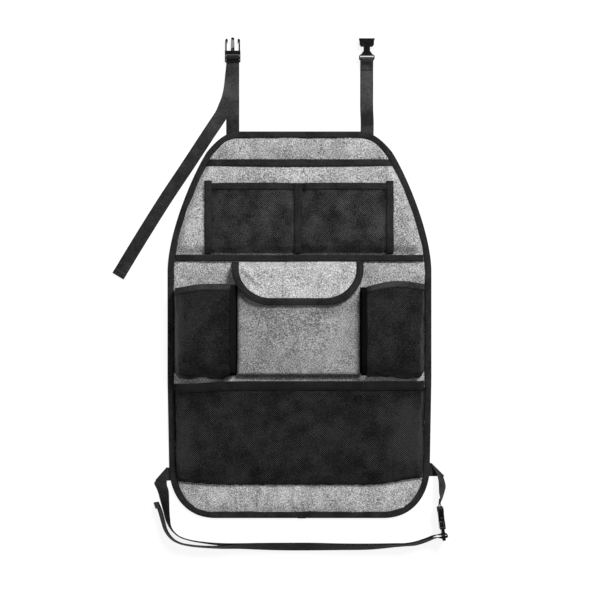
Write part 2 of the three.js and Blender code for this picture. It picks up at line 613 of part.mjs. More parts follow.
function bottleNetGrid(side, mouth, foot) {
  const inner = GUSSET_FOOT + BOTTLE.gussetLean;
  const middle = [[0.35, 1.06], [0.5, 1.07], [0.65, 1.06], [0.8, 1.03], [0.93, 1], [1, 0.9]];
  const innerX = MIDDLE_X + side * inner;
  return ROUNDED_FOOT.map(([down, share]) => {
    const cell = (f, rise, x) => {
      const y = mouth(f) + (foot(f) - mouth(f)) * down;
      return point(x(y), y, rise === null ? MARGIN_POCKET : NET_Z + BOTTLE.depth * rise * share);
    };
    const outer = (inset) => (y) => side * halfWidth(y, inset);
    const across = (f) => (y) => side * halfWidth(y, BINDING_WIDTH) * (1 - f) + innerX * f;
    const row = [cell(0, null, outer(MARGIN_INSET)), cell(0, null, outer(POCKET_STEP)),
      ...NET_CLIMB.map(([inset, rise], k) => cell(0.02 + 0.05 * k, rise, outer(inset))),
      ...middle.map(([f, rise]) => cell(f, rise, across(f)))];
    return side < 0 ? row : row.reverse();
  });
}

function gussetGrid(side, net) {
  const rim = side < 0 ? net[0].length - 1 : 0;
  return net.slice(0, -1).map((cells) => {
    const top = cells[rim];
    const base = point(MIDDLE_X + side * GUSSET_FOOT, top.y, FIELD_TOP);
    const high = point(top.x, top.y, top.z - GAP - SEWN_GAP);
    const wall = [high, high.clone().lerp(base, 0.3), high.clone().lerp(base, 0.65), base];
    return side < 0 ? wall : wall.reverse();
  });
}

// How far a gathered foot drops below its seam: swags of a given number over a share of the pocket's width.
function gathered({ swag, corner }, swags, span) {
  return (f) => {
    const t = Math.min(f / span, 1);
    const rise = corner * Math.max(0, 1 - f / 0.12);
    return POCKETS_LOW - BOTTLE.seam - swag * Math.sin(Math.PI * swags * t) ** 2 + rise;
  };
}

function arched({ outer, crown, inner }) {
  return (f) => BOTTLE_MOUTH + outer * (1 - f) ** 3 + crown * Math.sin(Math.PI * f) + inner * f ** 3;
}

const bottlePockets = [
  { name: 'left_bottle', side: -1, mouth: arched(LEFT_BOTTLE), foot: gathered(LEFT_BOTTLE, 2, 1) },
  { name: 'right_bottle', side: 1, mouth: arched(RIGHT_BOTTLE), foot: gathered(RIGHT_BOTTLE, 1, 0.66) },
];
const BACKING_INSET = FOAM_INSET + GAP;
const spaced = (from, to) => [0, 0.2, 0.4, 0.6, 0.8, 1].map((t) => from + (to - from) * t);
for (const { name, side, mouth, foot } of bottlePockets) {
  const stations = spaced(BOTTLE_MOUTH - BOTTLE.tapeWidth, POCKETS_LOW).map((y) => {
    const edges = [side * halfWidth(y, BACKING_INSET), MIDDLE_X + side * (GUSSET_FOOT + GAP)];
    return [y, Math.min(...edges), Math.max(...edges), FIELD_TOP];
  });
  add(`${name}_backing`, flatCloth(stations, BACKING), colours.black);
  const net = bottleNetGrid(side, mouth, foot);
  const rim = side < 0 ? [2, net[0].length - 1] : [0, net[0].length - 3];
  add(`${name}_net`, cloth(net, POCKET_CLOTH), colours.net);
  add(`${name}_gusset`, cloth(gussetGrid(side, net), POCKET_CLOTH), colours.tape);
  add(`${name}_tape`, foldedTape(net, BOTTLE.tapeWidth, rim[0], rim[1]), colours.tape, 0.8);
}

// The wide net pocket across the foot of the panel

function lowerNetGrid() {
  const rows = [[0, 1], [0.105, 1], [0.25, 1.08], [0.45, 1.12], [0.65, 1.1], [0.82, 0.98], [0.92, 0.74],
    [0.98, 0.4], [1, 0]];
  const ramp = THREE.MathUtils.smoothstep;
  const droop = (x) => LOWER_NET.droop * ramp(-x, 90, 190);
  const lift = (x) => LOWER_NET.liftRight * ramp(x, 105, 190) + LOWER_NET.liftLeft * ramp(-x, 120, 190);
  return rows.map(([down, share]) => {
    const cell = (x, z) => {
      const nominal = x(LOWER_MOUTH + (LOWER_END - LOWER_MOUTH) * down);
      const mouth = LOWER_MOUTH - TAPE - droop(nominal);
      const y = mouth + (LOWER_END + lift(nominal) - mouth) * down;
      return point(x(y), y, z);
    };
    const climb = NET_CLIMB.map(([inset, rise]) => [inset, NET_Z + LOWER_NET.depth * rise * share]);
    const side = [[MARGIN_INSET, MARGIN_POCKET], [POCKET_STEP, MARGIN_POCKET], ...climb];
    const folds = [-0.8, -0.62, -0.42, -0.2, 0, 0.2, 0.42, 0.62, 0.8].map((t, k) =>
      [t, NET_Z + LOWER_NET.depth * share * (k % 2 ? 1.12 : 1.02)]);
    const left = side.map(([inset, z]) => cell((y) => -halfWidth(y, inset), z));
    const right = side.map(([inset, z]) => cell((y) => halfWidth(y, inset), z)).reverse();
    return [...left, ...folds.map(([t, z]) => cell((y) => t * halfWidth(y, BINDING_WIDTH), z)), ...right];
  });
}

const lowerBacking = spaced(LOWER_MOUTH - LOWER_NET.tapeWidth / 2, LOWER_END + SEAM_ALLOWANCE)
  .map((y) => [y, -halfWidth(y, BACKING_INSET), halfWidth(y, BACKING_INSET), FIELD_TOP]);
add('lower_net_backing', flatCloth(lowerBacking, BACKING), colours.black);

const lowerNet = lowerNetGrid();
add('lower_net', cloth(lowerNet, POCKET_CLOTH), colours.net);
add('lower_net_tape', foldedTape(lowerNet, LOWER_NET.tapeWidth, 2, lowerNet[0].length - 3),
  colours.tape, 0.8);

// Buckles in their own frame: the plug's plate and the socket's mouth on y = 0, arms and socket towards +Y

function join(geometries) {
  return wasm.Manifold.union(geometries.map(toManifold));
}

function bar(width, diameter, y, z) {
  const geometry = new THREE.CylinderGeometry(diameter / 2, diameter / 2, width, 16);
  geometry.rotateZ(Math.PI / 2);
  geometry.translate(0, y, z);
  return geometry;
}

function flatPoints(pairs) {
  return pairs.map(([x, y]) => new THREE.Vector2(x, y));
}

const LAYER = STRAP.thickness + GAP;
const FLAT = STRAP.thickness / 2;
const MID_BAR = { y: -PLUG.plate - PLUG.frontSlot - PLUG.midBar / 2, z: LAYER + PLUG.midBar / 2 };
const PLUG_LENGTH = PLUG.plate + PLUG.frontSlot + PLUG.midBar + PLUG.rearSlot + PLUG.rearBar;
const SOCKET_BAR = { y: SOCKET.length - SOCKET.bar / 2, z: SOCKET.thickness / 2 };

function plug(spread) {
  const { half, thickness, rail, plate, rearBar, arm, armLength, pad, padLength, tip, prong } = PLUG;
  const middle = thickness / 2;
  const barWidth = 2 * half - rail;
  const armOutline = [
    [spread - arm, -1], [spread, -1], [spread, armLength - 2 * tip], [spread - tip, armLength],
    [spread - pad + tip, armLength], [spread - pad, armLength - tip],
    [spread - pad, armLength - padLength + tip], [spread - arm, armLength - padLength],
  ];
  const prongOutline = [[-PLUG.prongHalf, -1], [PLUG.prongHalf, -1], [PLUG.prongHalf, prong / 2],
    [PLUG.prongTipHalf, prong], [-PLUG.prongTipHalf, prong], [-PLUG.prongHalf, prong / 2]];
  const raised = (outline, depth) => {
    const geometry = extruded(flatPoints(outline), [], depth);
    geometry.translate(0, 0, middle - depth / 2);
    return geometry;
  };
  const pieces = [
    block(2 * half, plate, thickness, 0, -plate / 2, middle),
    bar(barWidth, PLUG.midBar, MID_BAR.y, MID_BAR.z),
    block(barWidth, rearBar, PLUG.rearBarThickness, 0, rearBar / 2 - PLUG_LENGTH,
      2 * LAYER + PLUG.rearBarThickness / 2),
    raised(prongOutline, PLUG.prongThickness),
  ];
  for (const side of [-1, 1]) {
    pieces.push(block(rail, PLUG_LENGTH, thickness, side * (half - rail / 2), -PLUG_LENGTH / 2, middle));
    const outline = armOutline.map(([x, y]) => [side * x, y]);
    pieces.push(raised(side < 0 ? outline.reverse() : outline, PLUG.armThickness));
  }
  return fromManifold(join(pieces));
}

function socket() {
  const { half, thickness, lobeHalf, lobe, neckHalf, neckEnd, length, wall } = SOCKET;
  const middle = thickness / 2;
  const side = [[half, 0], [half, 2], [lobeHalf, 4], [lobeHalf, lobe - 3], [lobeHalf - 1.5, lobe - 0.6],
    [lobeHalf - 3, lobe], [neckHalf, lobe], [neckHalf, neckEnd], [SOCKET.waistHalf, SOCKET.waistEnd],
    [half, SOCKET.slotStart], [half, length - 2], [half - 1, length]];
  const outline = [...side, ...side.map(([x, y]) => [-x, y]).reverse()];
  const body = extruded(flatPoints(outline), [], thickness);
  const cavity = thickness - 2 * wall;
  const slotHalf = STRAP.width / 2 + GAP;
  const hollow = [
    block(2 * (lobeHalf - 1.5), lobe + 1, cavity, 0, (lobe - 1) / 2 + 0.05, middle),
    block(2 * SOCKET.channelHalf, SOCKET.channelEnd, SOCKET.channelDepth, 0, SOCKET.channelEnd / 2, middle),
    block(3 * half, SOCKET.windowEnd - SOCKET.windowStart, SOCKET.windowDepth, 0,
      (SOCKET.windowStart + SOCKET.windowEnd) / 2, middle),
    block(2 * slotHalf, length, 3 * thickness, 0, SOCKET.slotStart + length / 2, middle),
  ];
  const shell = hollow.reduce((made, tool) => made.subtract(toManifold(tool)), toManifold(body));
  return fromManifold(shell.add(toManifold(bar(2 * slotHalf + 1, SOCKET.bar, SOCKET_BAR.y, SOCKET_BAR.z))));
}

function placed(geometry, matrix) {
  const copy = geometry.clone();
  copy.applyMatrix4(matrix);
  return copy;
}

// Webbing straps: rows of two edge points, from a middle, the bearing of the width and its lean

function row(x, y, z, turn = 0, lean = 0) {
  const [t, l] = [THREE.MathUtils.degToRad(turn), THREE.MathUtils.degToRad(lean)];
  const half = point(Math.cos(t) * Math.cos(l), Math.sin(t) * Math.cos(l), Math.sin(l));
  half.multiplyScalar(STRAP.width / 2);
  return [point(x, y, z).sub(half), point(x, y, z).add(half)];
}

// A row resting on the surface by its lower edge, moved out by a number of layers.
function resting(x, y, turn, lean, layers = 0) {
  const [t, l] = [THREE.MathUtils.degToRad(turn), THREE.MathUtils.degToRad(lean)];
  const away = LAYER * layers;
  const height = (STRAP.width / 2) * Math.sin(l) + FLAT * Math.cos(l);
  return row(x - away * Math.sin(l) * Math.cos(t), y - away * Math.sin(l) * Math.sin(t),
    height + away * Math.cos(l), turn, lean);
}

function smooth(rows, steps = 3) {
  const curves = [0, 1].map((k) => new THREE.CatmullRomCurve3(rows.map((r) => r[k]), false, 'centripetal'));
  const count = (rows.length - 1) * steps;
  return Array.from({ length: count + 1 }, (_, i) => curves.map((curve) => curve.getPoint(i / count)));
}

const WEBBING_PROFILE = flatPoints([[-1, -1], [1, -1], [1, 1], [-1, 1]]);

function webbing(rows) {
  const middle = rows.map(([a, b]) => a.clone().lerp(b, 0.5));
  return loft(rows.map(([a, b], i) => {
    const [before, after] = [middle[Math.max(i - 1, 0)], middle[Math.min(i + 1, rows.length - 1)]];
    const along = after.clone().sub(before).normalize();
    const normal = along.cross(b.clone().sub(a).normalize()).normalize().multiplyScalar(FLAT);
    return [a.clone().sub(normal), b.clone().sub(normal), b.clone().add(normal), a.clone().add(normal)];
  }), WEBBING_PROFILE);
}

// Rows round a bar, from one angle to another in the plane of two directions, the width along a third.
function aroundBar(centre, ahead, up, across, radius, from, to) {
  const steps = Math.round(Math.abs(to - from) / 30);
  return Array.from({ length: steps + 1 }, (_, i) => {
    const angle = THREE.MathUtils.degToRad(from + ((to - from) * i) / steps);
    const middle = centre.clone().addScaledVector(ahead, radius * Math.cos(angle));
    middle.addScaledVector(up, radius * Math.sin(angle));
    const half = across.clone().multiplyScalar(STRAP.width / 2);
    return [middle.clone().sub(half), middle.clone().add(half)];
  });
}

// The end of a tail folded back once over itself.
function hemmed(x, y, turn, lean, heading) {
  const h = THREE.MathUtils.degToRad(heading);
  const at = (ahead, layer) => resting(x + Math.cos(h) * ahead, y + Math.sin(h) * ahead, turn, lean, layer);
  const fold = [30, 60, 90, 120, 150, 180].map(THREE.MathUtils.degToRad);
  return [...fold.map((f) => at((Math.sin(f) * LAYER) / 2, (1 - Math.cos(f)) / 2)), at(-STRAP.hem, 1)];
}

// A flat corner fold on a diagonal, from one layer to another.
function cornerFold(first, second, outward, from, to) {
  return [0, 30, 60, 90, 120, 150, 180].map(THREE.MathUtils.degToRad).map((f) => {
    const out = (Math.sin(f) * LAYER) / 2;
    const z = FLAT + LAYER * (from + ((to - from) * (1 - Math.cos(f))) / 2);
    return [first, second].map(([x, y]) => point(x + outward[0] * out, y + outward[1] * out, z));
  });
}

const X_AXIS = point(1, 0, 0);
const Y_AXIS = point(0, 1, 0);
const Z_AXIS = point(0, 0, 1);
const MID_WRAP = PLUG.midBar / 2 + GAP + FLAT;
const SOCKET_WRAP = SOCKET.bar / 2 + GAP + FLAT;
const TAIL_BEND = FLAT + GAP;
const DIAGONAL = Math.SQRT1_2;

// Top left strap: under the plug, up through its front slot, over the middle bar and away as a loose tail
const plugY = PANEL_TOP + PLUG_FROM_TOP;
const leftX = TOP_STRAP_X.left;
const plugBar = point(leftX, plugY + MID_BAR.y, MID_BAR.z);
const bendCentre = plugBar.clone().addScaledVector(Y_AXIS, -MID_WRAP - TAIL_BEND);
const [tailX, tailY, tailTurn] = UPPER_TAIL[UPPER_TAIL.length - 1];
const tailRows = UPPER_TAIL.map(([x, y, turn, layers]) =>
  row(leftX + x, PANEL_TOP + y, FLAT + LAYER * layers, turn));
add('left_top_strap', webbing([
  row(leftX, PANEL_TOP - STRAP.sewnIn, FLAT), row(leftX, plugBar.y - 2 * MID_WRAP, FLAT),
  ...aroundBar(plugBar, Y_AXIS, Z_AXIS, X_AXIS, MID_WRAP, -90, 180),
  ...aroundBar(bendCentre, Y_AXIS, Z_AXIS, X_AXIS, TAIL_BEND, -30, -90),
  ...smooth([row(leftX, plugY - PLUG_LENGTH, FLAT + LAYER), ...tailRows]),
  ...hemmed(leftX + tailX, PANEL_TOP + tailY, tailTurn, 0, UPPER_TAIL_HEADING),
]), colours.webbing, 0.75);
const openPlug = new THREE.Matrix4().makeTranslation(leftX, plugY, 0);
add('left_top_buckle', placed(plug(PLUG.openSpread), openPlug), colours.plastic, 0.45);

// Top right strap: folded round the socket's bar and stitched to itself
const socketY = PANEL_TOP + SOCKET_FROM_TOP;
const rightX = TOP_STRAP_X.right;
const openSocket = new THREE.Matrix4().makeRotationZ(Math.PI).setPosition(rightX, socketY, 0);
const openBar = point(rightX, socketY - SOCKET_BAR.y, SOCKET_BAR.z);
const beforeBar = (y, z) => row(rightX, openBar.y - y, z);
add('right_top_strap', webbing([
  row(rightX, PANEL_TOP - STRAP.sewnIn, FLAT), beforeBar(26, FLAT),
  ...smooth([beforeBar(16, FLAT), beforeBar(10, FLAT + 0.3), beforeBar(5, FLAT + 1)]),
  ...aroundBar(openBar, Y_AXIS, Z_AXIS, X_AXIS, SOCKET_WRAP, -90, 90),
  beforeBar(3, openBar.z + 1.4), beforeBar(7, FLAT + LAYER + 1.2), beforeBar(11, FLAT + LAYER + 0.4),
  beforeBar(15.5, FLAT + LAYER),
]), colours.webbing, 0.75);
add('right_top_buckle', placed(socket(), openSocket), colours.plastic, 0.45);

// The closed pair lies on its edge at the lower right, the socket towards the top
const pairTurn = THREE.MathUtils.degToRad(CLOSED_PAIR.turn);
const pairUp = point(-Math.sin(pairTurn), Math.cos(pairTurn), 0);
const pairOut = point(Math.cos(pairTurn), Math.sin(pairTurn), 0);
const pairMiddle = point(PANEL_LOW_HALF + CLOSED_PAIR.x, PANEL_BOTTOM + CLOSED_PAIR.y, SOCKET.half);
const inPair = (y, z) => pairMiddle.clone().addScaledVector(pairUp, y).addScaledVector(pairOut, z);
const pairMatrix = (z) => new THREE.Matrix4().makeBasis(Z_AXIS.clone().negate(), pairUp, pairOut)
  .setPosition(inPair(0, z));
add('bottom_right_socket', placed(socket(), pairMatrix(-SOCKET.thickness / 2)), colours.plastic, 0.45);
add('bottom_plug', placed(plug(PLUG.closedSpread), pairMatrix(-PLUG.thickness / 2)), colours.plastic, 0.45);

// Long lower strap: folded at the panel's edge, round the foot of the panel, through the plug and back
const lowLeft = (x, y) => [-PANEL_LOW_HALF + x, PANEL_BOTTOM + y];
const lowRight = (x, y) => [PANEL_LOW_HALF + x, PANEL_BOTTOM + y];
const half = STRAP.width / 2;
const runY = LOWER_STRAP_Y.left;
const foldX = -PANEL_LOW_HALF - STRAP.turnIn;
const restingOn = (route, corner, layers) =>
  route.map(([x, y, turn, lean]) => resting(...corner(x, y), turn, lean, layers));
const lifted = (route) => route.map(([x, y, turn, lean, z]) => row(...lowRight(x, y), z, turn, lean));
const double = (layers) =>
  [...restingOn(LEFT_DOUBLE, lowLeft, layers), ...restingOn(RIGHT_DOUBLE, lowRight, layers)];
const foldSpan = Math.hypot(STRAP.foldRun, STRAP.width);
const longFold = cornerFold([foldX - STRAP.foldRun, runY - half], [foldX, runY + half],
  [-STRAP.width / foldSpan, STRAP.foldRun / foldSpan], 1, 0);
const barOut = MID_BAR.z - PLUG.thickness / 2;
const loopCentre = inPair(MID_BAR.y, barOut + LOOP_SLACK.out);
const plugLoop = aroundBar(loopCentre, pairOut, pairUp, Z_AXIS, MID_WRAP, 90, -90);
const inSlot = (side) => {
  const middle = inPair(MID_BAR.y + side * MID_WRAP, barOut - LOOP_SLACK.lead + MID_WRAP);
  return [middle.clone().addScaledVector(Z_AXIS, -half), middle.clone().addScaledVector(Z_AXIS, half)];
};
const [endX, endY, endTurn, endLean] = LOWER_TAIL[LOWER_TAIL.length - 1];
add('left_bottom_strap', webbing([
  row(-PANEL_LOW_HALF + STRAP.sewnIn, runY, FLAT, 90), row(-PANEL_LOW_HALF + 2, runY, FLAT, 90),
  row(-PANEL_LOW_HALF - 0.4, runY, FLAT + 0.1, 90), row(foldX + 0.3, runY, FLAT + LAYER - 0.1, 90),
  row(foldX, runY, FLAT + LAYER, 90), ...longFold,
  ...smooth([longFold[longFold.length - 1], ...restingOn(LEFT_RUN, lowLeft, 0), ...double(0),
    ...lifted(INTO_PLUG), inSlot(1), plugLoop[0]]).slice(1, -1),
  ...plugLoop,
  ...smooth([plugLoop[plugLoop.length - 1], inSlot(-1), ...lifted(OUT_OF_PLUG), ...double(1).reverse(),
    ...restingOn(LOWER_TAIL, lowLeft, 0)]).slice(1),
  ...hemmed(...lowLeft(endX, endY), endTurn, endLean, LOWER_TAIL_HEADING),
]), colours.webbing, 0.75);

// Short lower strap: folded at the panel's edge, stood on its edge and sewn round the socket's bar
const shortY = LOWER_STRAP_Y.right;
const shortX = PANEL_LOW_HALF + STRAP.turnOut;
const shortFold = cornerFold([shortX + STRAP.width, shortY - half], [shortX, shortY + half],
  [DIAGONAL, DIAGONAL], 0, 1);
const shortBar = inPair(SOCKET_BAR.y, 0);
const shortLoop = aroundBar(shortBar, pairUp.clone().negate(), pairOut, Z_AXIS, SOCKET_WRAP, 90, -90);
const shortRows = SHORT_OUTER.map(([x, y, z], i) => {
  const [u, v, w] = SHORT_INNER[i];
  return [point(...lowRight(x, y), z), point(...lowRight(u, v), w)];
});
const backOff = (rows) =>
  rows.map(([a, b]) => [a, b].map((p) => p.clone().addScaledVector(pairOut, -LAYER - SEWN_GAP)));
add('right_bottom_strap', webbing([
  row(PANEL_LOW_HALF - STRAP.sewnIn, shortY, FLAT, 90), row(shortX, shortY, FLAT, 90), ...shortFold,
  ...smooth([shortFold[shortFold.length - 1], ...shortRows, shortLoop[0]]).slice(1, -1),
  ...shortLoop, ...backOff(shortRows.slice(-2).reverse()),
]), colours.webbing, 0.75);

export default organizer;
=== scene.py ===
# %% [markdown]
# # A car seat-back organizer
# The real organizer is a thin padded panel of grey melange cloth. Cloth pockets and net pockets are sewn on its
# front, every edge is bound with dark tape, and four webbing straps end in plastic buckles. It lies on its back,
# and the camera looks straight down on it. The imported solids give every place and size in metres.

# %% Load the frame
import math
import bpy
import bmesh
import numpy as np
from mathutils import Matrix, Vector

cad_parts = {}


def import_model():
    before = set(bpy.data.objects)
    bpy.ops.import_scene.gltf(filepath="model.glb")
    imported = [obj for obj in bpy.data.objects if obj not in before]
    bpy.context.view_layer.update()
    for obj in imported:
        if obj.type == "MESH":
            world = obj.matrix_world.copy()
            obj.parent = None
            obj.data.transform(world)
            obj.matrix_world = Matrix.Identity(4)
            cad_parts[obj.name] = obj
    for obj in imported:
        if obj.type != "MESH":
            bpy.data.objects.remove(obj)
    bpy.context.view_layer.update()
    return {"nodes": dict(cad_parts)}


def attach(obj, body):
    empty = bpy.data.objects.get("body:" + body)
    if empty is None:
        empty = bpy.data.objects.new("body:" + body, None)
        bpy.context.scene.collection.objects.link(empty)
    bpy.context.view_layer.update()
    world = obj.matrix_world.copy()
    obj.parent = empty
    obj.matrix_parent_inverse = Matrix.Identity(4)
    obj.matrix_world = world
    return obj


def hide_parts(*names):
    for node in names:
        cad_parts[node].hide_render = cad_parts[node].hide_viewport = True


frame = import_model()
MM = 0.001

# %% [markdown]
# ## Sizes
# The sewing pattern is written in millimetres. The layers stack up from the surface that the organizer lies on:
# binding, lining, foam, front cloth and then the pockets.

# %% The sewing pattern
CLOTH, TAPE, BACKING, GAP, SNUG = 0.8, 0.8, 0.4, 0.3, 0.2
PANEL = {"half": 201.8, "low_half": 199.3, "top": 295.3, "bottom": -296.0, "top_flat": 90.0, "bottom_flat": 128.0,
         "shoulder": (141.5, 264.0), "full_y": 80.0, "taper_y": -85.0, "corner_y": -222.0}
BIND = 10.0
LINING, FIELD, MARGIN = 0.6, 3.0, 2.0
DOC_SLACK = 7.0
DOC_Z = FIELD + DOC_SLACK
ON_DOC = DOC_Z + CLOTH + BACKING + GAP
NET_Z = FIELD + BACKING + SNUG
DOC_MOUTH, UPPER_MOUTH, TAPE_TOP, TAPE_LOW = 252.0, 215.5, 106.7, 96.7
DOC_FOOT = TAPE_TOP + 1.5
DOC_TOE = DOC_FOOT + 14
FOOT_STACK = CLOTH + BACKING + SNUG + GAP
FLAP_END, CENTRE_MOUTH, BOTTLE_MOUTH = 29.7, 78.3, 60.8
POCKETS_LOW, LOWER_MOUTH, LOWER_END = -77.5, -86.0, -243.7
UPPER = {"left": -144.6, "right": 143.5, "divider": -2.5, "depth": 9.0, "side": 11.4, "rise": 4.0}
MID_X = -1.3

# %% [markdown]
# ## Curves and grids
# Every cloth starts as a grid of points: rows run down the organizer and columns run across it. A few control
# rows say where a cloth climbs or folds, and a shape-keeping spline fills in the rest without overshoot.

# %% Splines
def pchip(t, y, s):
    """Monotone cubic through the values y at t, read at s."""
    h = np.diff(t)[:, None]
    d = np.diff(y, axis=0) / h
    m = np.zeros_like(y)
    a, b = d[:-1], d[1:]
    w1, w2 = 2 * h[1:] + h[:-1], h[1:] + 2 * h[:-1]
    with np.errstate(divide="ignore", invalid="ignore"):
        inner = (w1 + w2) / (w1 / a + w2 / b)
    m[1:-1] = np.where(a * b > 0, inner, 0)
    m[0], m[-1] = d[0], d[-1]
    k = np.clip(np.searchsorted(t, s, "right") - 1, 0, len(t) - 2)
    u = ((s - t[k]) / h[k, 0])[:, None]
    hk = h[k]
    return ((1 + 2 * u) * (1 - u) ** 2 * y[k] + u * (1 - u) ** 2 * hk * m[k]
            + u * u * (3 - 2 * u) * y[k + 1] + u * u * (u - 1) * hk * m[k + 1])


def along(grid, axis):
    """Mean length along an axis of a grid up to each of its lines."""
    step = np.linalg.norm(np.diff(grid, axis=axis), axis=2)
    mean = step.mean(axis=1 - axis)
    return np.concatenate([[0], np.cumsum(np.maximum(mean, 1e-3))])


def refine(control, cell):
    """A fine grid with cells of about the given size, from a grid of control points."""
    grid = np.array(control, float)
    for axis in (1, 0):
        t = along(grid, axis)
        count = max(4, int(round(t[-1] / cell)))
        s = np.union1d(np.linspace(0, t[-1], count + 1), t)
        keep = np.concatenate([[True], np.diff(s) > cell * 0.25])
        s = s[keep]
        s[-1] = t[-1]
        moved = np.moveaxis(grid, axis, 0)
        flat = moved.reshape(moved.shape[0], -1)
        grid = np.moveaxis(pchip(t, flat, s).reshape(len(s), *moved.shape[1:]), 0, axis)
    return grid


def travelled(line):
    """Length along a line of points up to each of them."""
    return np.concatenate([[0], np.cumsum(np.linalg.norm(np.diff(line, axis=0), axis=1))])


def grid_faces(rows, cols):
    """The point numbers of a grid and its four-sided faces."""
    idx = np.arange(rows * cols).reshape(rows, cols)
    return idx, np.stack([idx[:-1, :-1], idx[1:, :-1], idx[1:, 1:], idx[:-1, 1:]], 2).reshape(-1, 4)


def normals(grid):
    across = np.gradient(grid, axis=1)
    down = np.gradient(grid, axis=0)
    n = np.cross(across, -down)
    return n / np.maximum(np.linalg.norm(n, axis=2, keepdims=True), 1e-9)


def raised(grid, rise):
    """The grid moved straight up by a height at each point."""
    return grid + np.stack([0 * rise, 0 * rise, rise], 2)


def true_range(mask):
    """The first and the last place where a mask is true."""
    return int(np.argmax(mask)), len(mask) - 1 - int(np.argmax(mask[::-1]))


# %% [markdown]
# ## Meshes from grids
# A sheet of cloth has two faces and a rim, so that it is closed and has a real thickness. Each mesh gets a UV map
# in metres, which lets a weave follow a strap or a tape round its folds.

# %% Mesh helpers
def linked(name, data):
    """A new object with the given data, in the scene."""
    obj = bpy.data.objects.new(name, data)
    bpy.context.scene.collection.objects.link(obj)
    return obj


def new_object(name, points, faces, uv=None):
    mesh = bpy.data.meshes.new(name)
    mesh.from_pydata((np.asarray(points, float) * MM).tolist(), [], [tuple(map(int, f)) for f in faces])
    mesh.update()
    if uv is not None:
        layer = mesh.uv_layers.new(name="weave")
        index = np.zeros(len(mesh.loops), np.int32)
        mesh.loops.foreach_get("vertex_index", index)
        layer.data.foreach_set("uv", (np.asarray(uv, float)[index] * MM).ravel())
    mesh.polygons.foreach_set("use_smooth", [True] * len(mesh.polygons))
    return linked(name, mesh)


def closed_sheet(name, low, high):
    """A closed sheet between two grids of the same size."""
    rows, cols = low.shape[:2]
    idx, quads = grid_faces(rows, cols)
    n = rows * cols
    faces = np.concatenate([quads + n, quads[:, [0, 3, 2, 1]]]).tolist()
    rim = np.concatenate([idx[:, 0], idx[-1, 1:], idx[-2::-1, -1], idx[0, -2:0:-1]])
    for p, q in zip(rim, np.roll(rim, -1)):
        faces.append([int(p), int(q), int(q) + n, int(p) + n])
    u = np.concatenate([np.zeros((rows, 1)), np.cumsum(np.linalg.norm(np.diff(low, axis=1), axis=2), 1)], 1)
    v = np.concatenate([np.zeros((1, cols)), np.cumsum(np.linalg.norm(np.diff(low, axis=0), axis=2), 0)], 0)
    uv = np.stack([u.ravel(), v.ravel()], 1)
    points = np.concatenate([low.reshape(-1, 3), high.reshape(-1, 3)])
    return new_object(name, points, faces, np.tile(uv, (2, 1)))


def cloth_sheet(name, grid, thickness=CLOTH):
    return closed_sheet(name, grid, grid + normals(grid) * thickness)


def lofted(name, rings, ends=True, uv=None):
    """Rings of points, one after another, joined into a tube; open tubes get flat ends."""
    count, size = len(rings), len(rings[0])
    idx = np.arange(count * size).reshape(count, size)
    faces = []
    for r in range(count - 1 if ends else count):
        p, q = idx[r], idx[(r + 1) % count]
        for i in range(size):
            j = (i + 1) % size
            faces.append([p[i], p[j], q[j], q[i]])
    if ends:
        faces += [list(idx[0][::-1]), list(idx[-1])]
    obj = new_object(name, np.concatenate(rings), faces, uv)
    bm = bmesh.new()
    bm.from_mesh(obj.data)
    bmesh.ops.recalc_face_normals(bm, faces=bm.faces)
    if bm.calc_volume(signed=True) < 0:
        bmesh.ops.reverse_faces(bm, faces=bm.faces)
    bm.to_mesh(obj.data)
    bm.free()
    return obj


# %% [markdown]
# ## The outline
# The panel has straight top and bottom edges, round shoulders and round lower corners. The same curve gives the
# width at any height and at any distance inside the edge.

# %% Outline of the panel
OUTLINE_STEPS = 520


def bezier(p0, p1, p2, p3, n=80):
    t = np.linspace(0, 1, n)[:, None]
    p0, p1, p2, p3 = map(np.array, (p0, p1, p2, p3))
    return (1 - t) ** 3 * p0 + 3 * (1 - t) ** 2 * t * p1 + 3 * (1 - t) * t * t * p2 + t ** 3 * p3


def half_outline():
    p = PANEL
    sx, sy = p["shoulder"]
    top = bezier((p["top_flat"], p["top"]), (p["top_flat"] + 22, p["top"]), (sx - 15, p["top"] - 13),
                 (sx, sy))
    side = bezier((sx, sy), (sx + 21.5, p["top"] - 65), (p["half"], p["top"] - 155),
                  (p["half"], p["full_y"]))
    low = bezier((p["low_half"], p["corner_y"]), (p["low_half"] - 2, p["bottom"] + 37),
                 (p["bottom_flat"] + 48, p["bottom"]), (p["bottom_flat"], p["bottom"]))
    line = np.concatenate([[[0, p["top"]]], top, side[1:], [[p["half"], p["taper_y"]]], low, [[0, p["bottom"]]]])
    length = travelled(line)
    s = np.linspace(0, length[-1], OUTLINE_STEPS)
    return np.stack([np.interp(s, length, line[:, 0]), np.interp(s, length, line[:, 1])], 1)


HALF = half_outline()
RING = np.concatenate([HALF, (HALF * [-1, 1])[-2:0:-1]])


def inset_ring(inset):
    tangent = np.roll(RING, -1, 0) - np.roll(RING, 1, 0)
    tangent /= np.linalg.norm(tangent, axis=1, keepdims=True)
    return RING + np.stack([tangent[:, 1], -tangent[:, 0]], 1) * inset


def half_width(y, inset):
    ring = inset_ring(inset)[:len(HALF)]
    order = np.argsort(ring[:, 1])
    return np.interp(y, ring[order, 1], ring[order, 0])


def smoothstep(x, a, b):
    t = np.clip((np.asarray(x, float) - a) / (b - a), 0, 1)
    return t * t * (3 - 2 * t)


print("outline points:", len(RING), "half width at the middle:", round(float(half_width(0, 0)), 1))

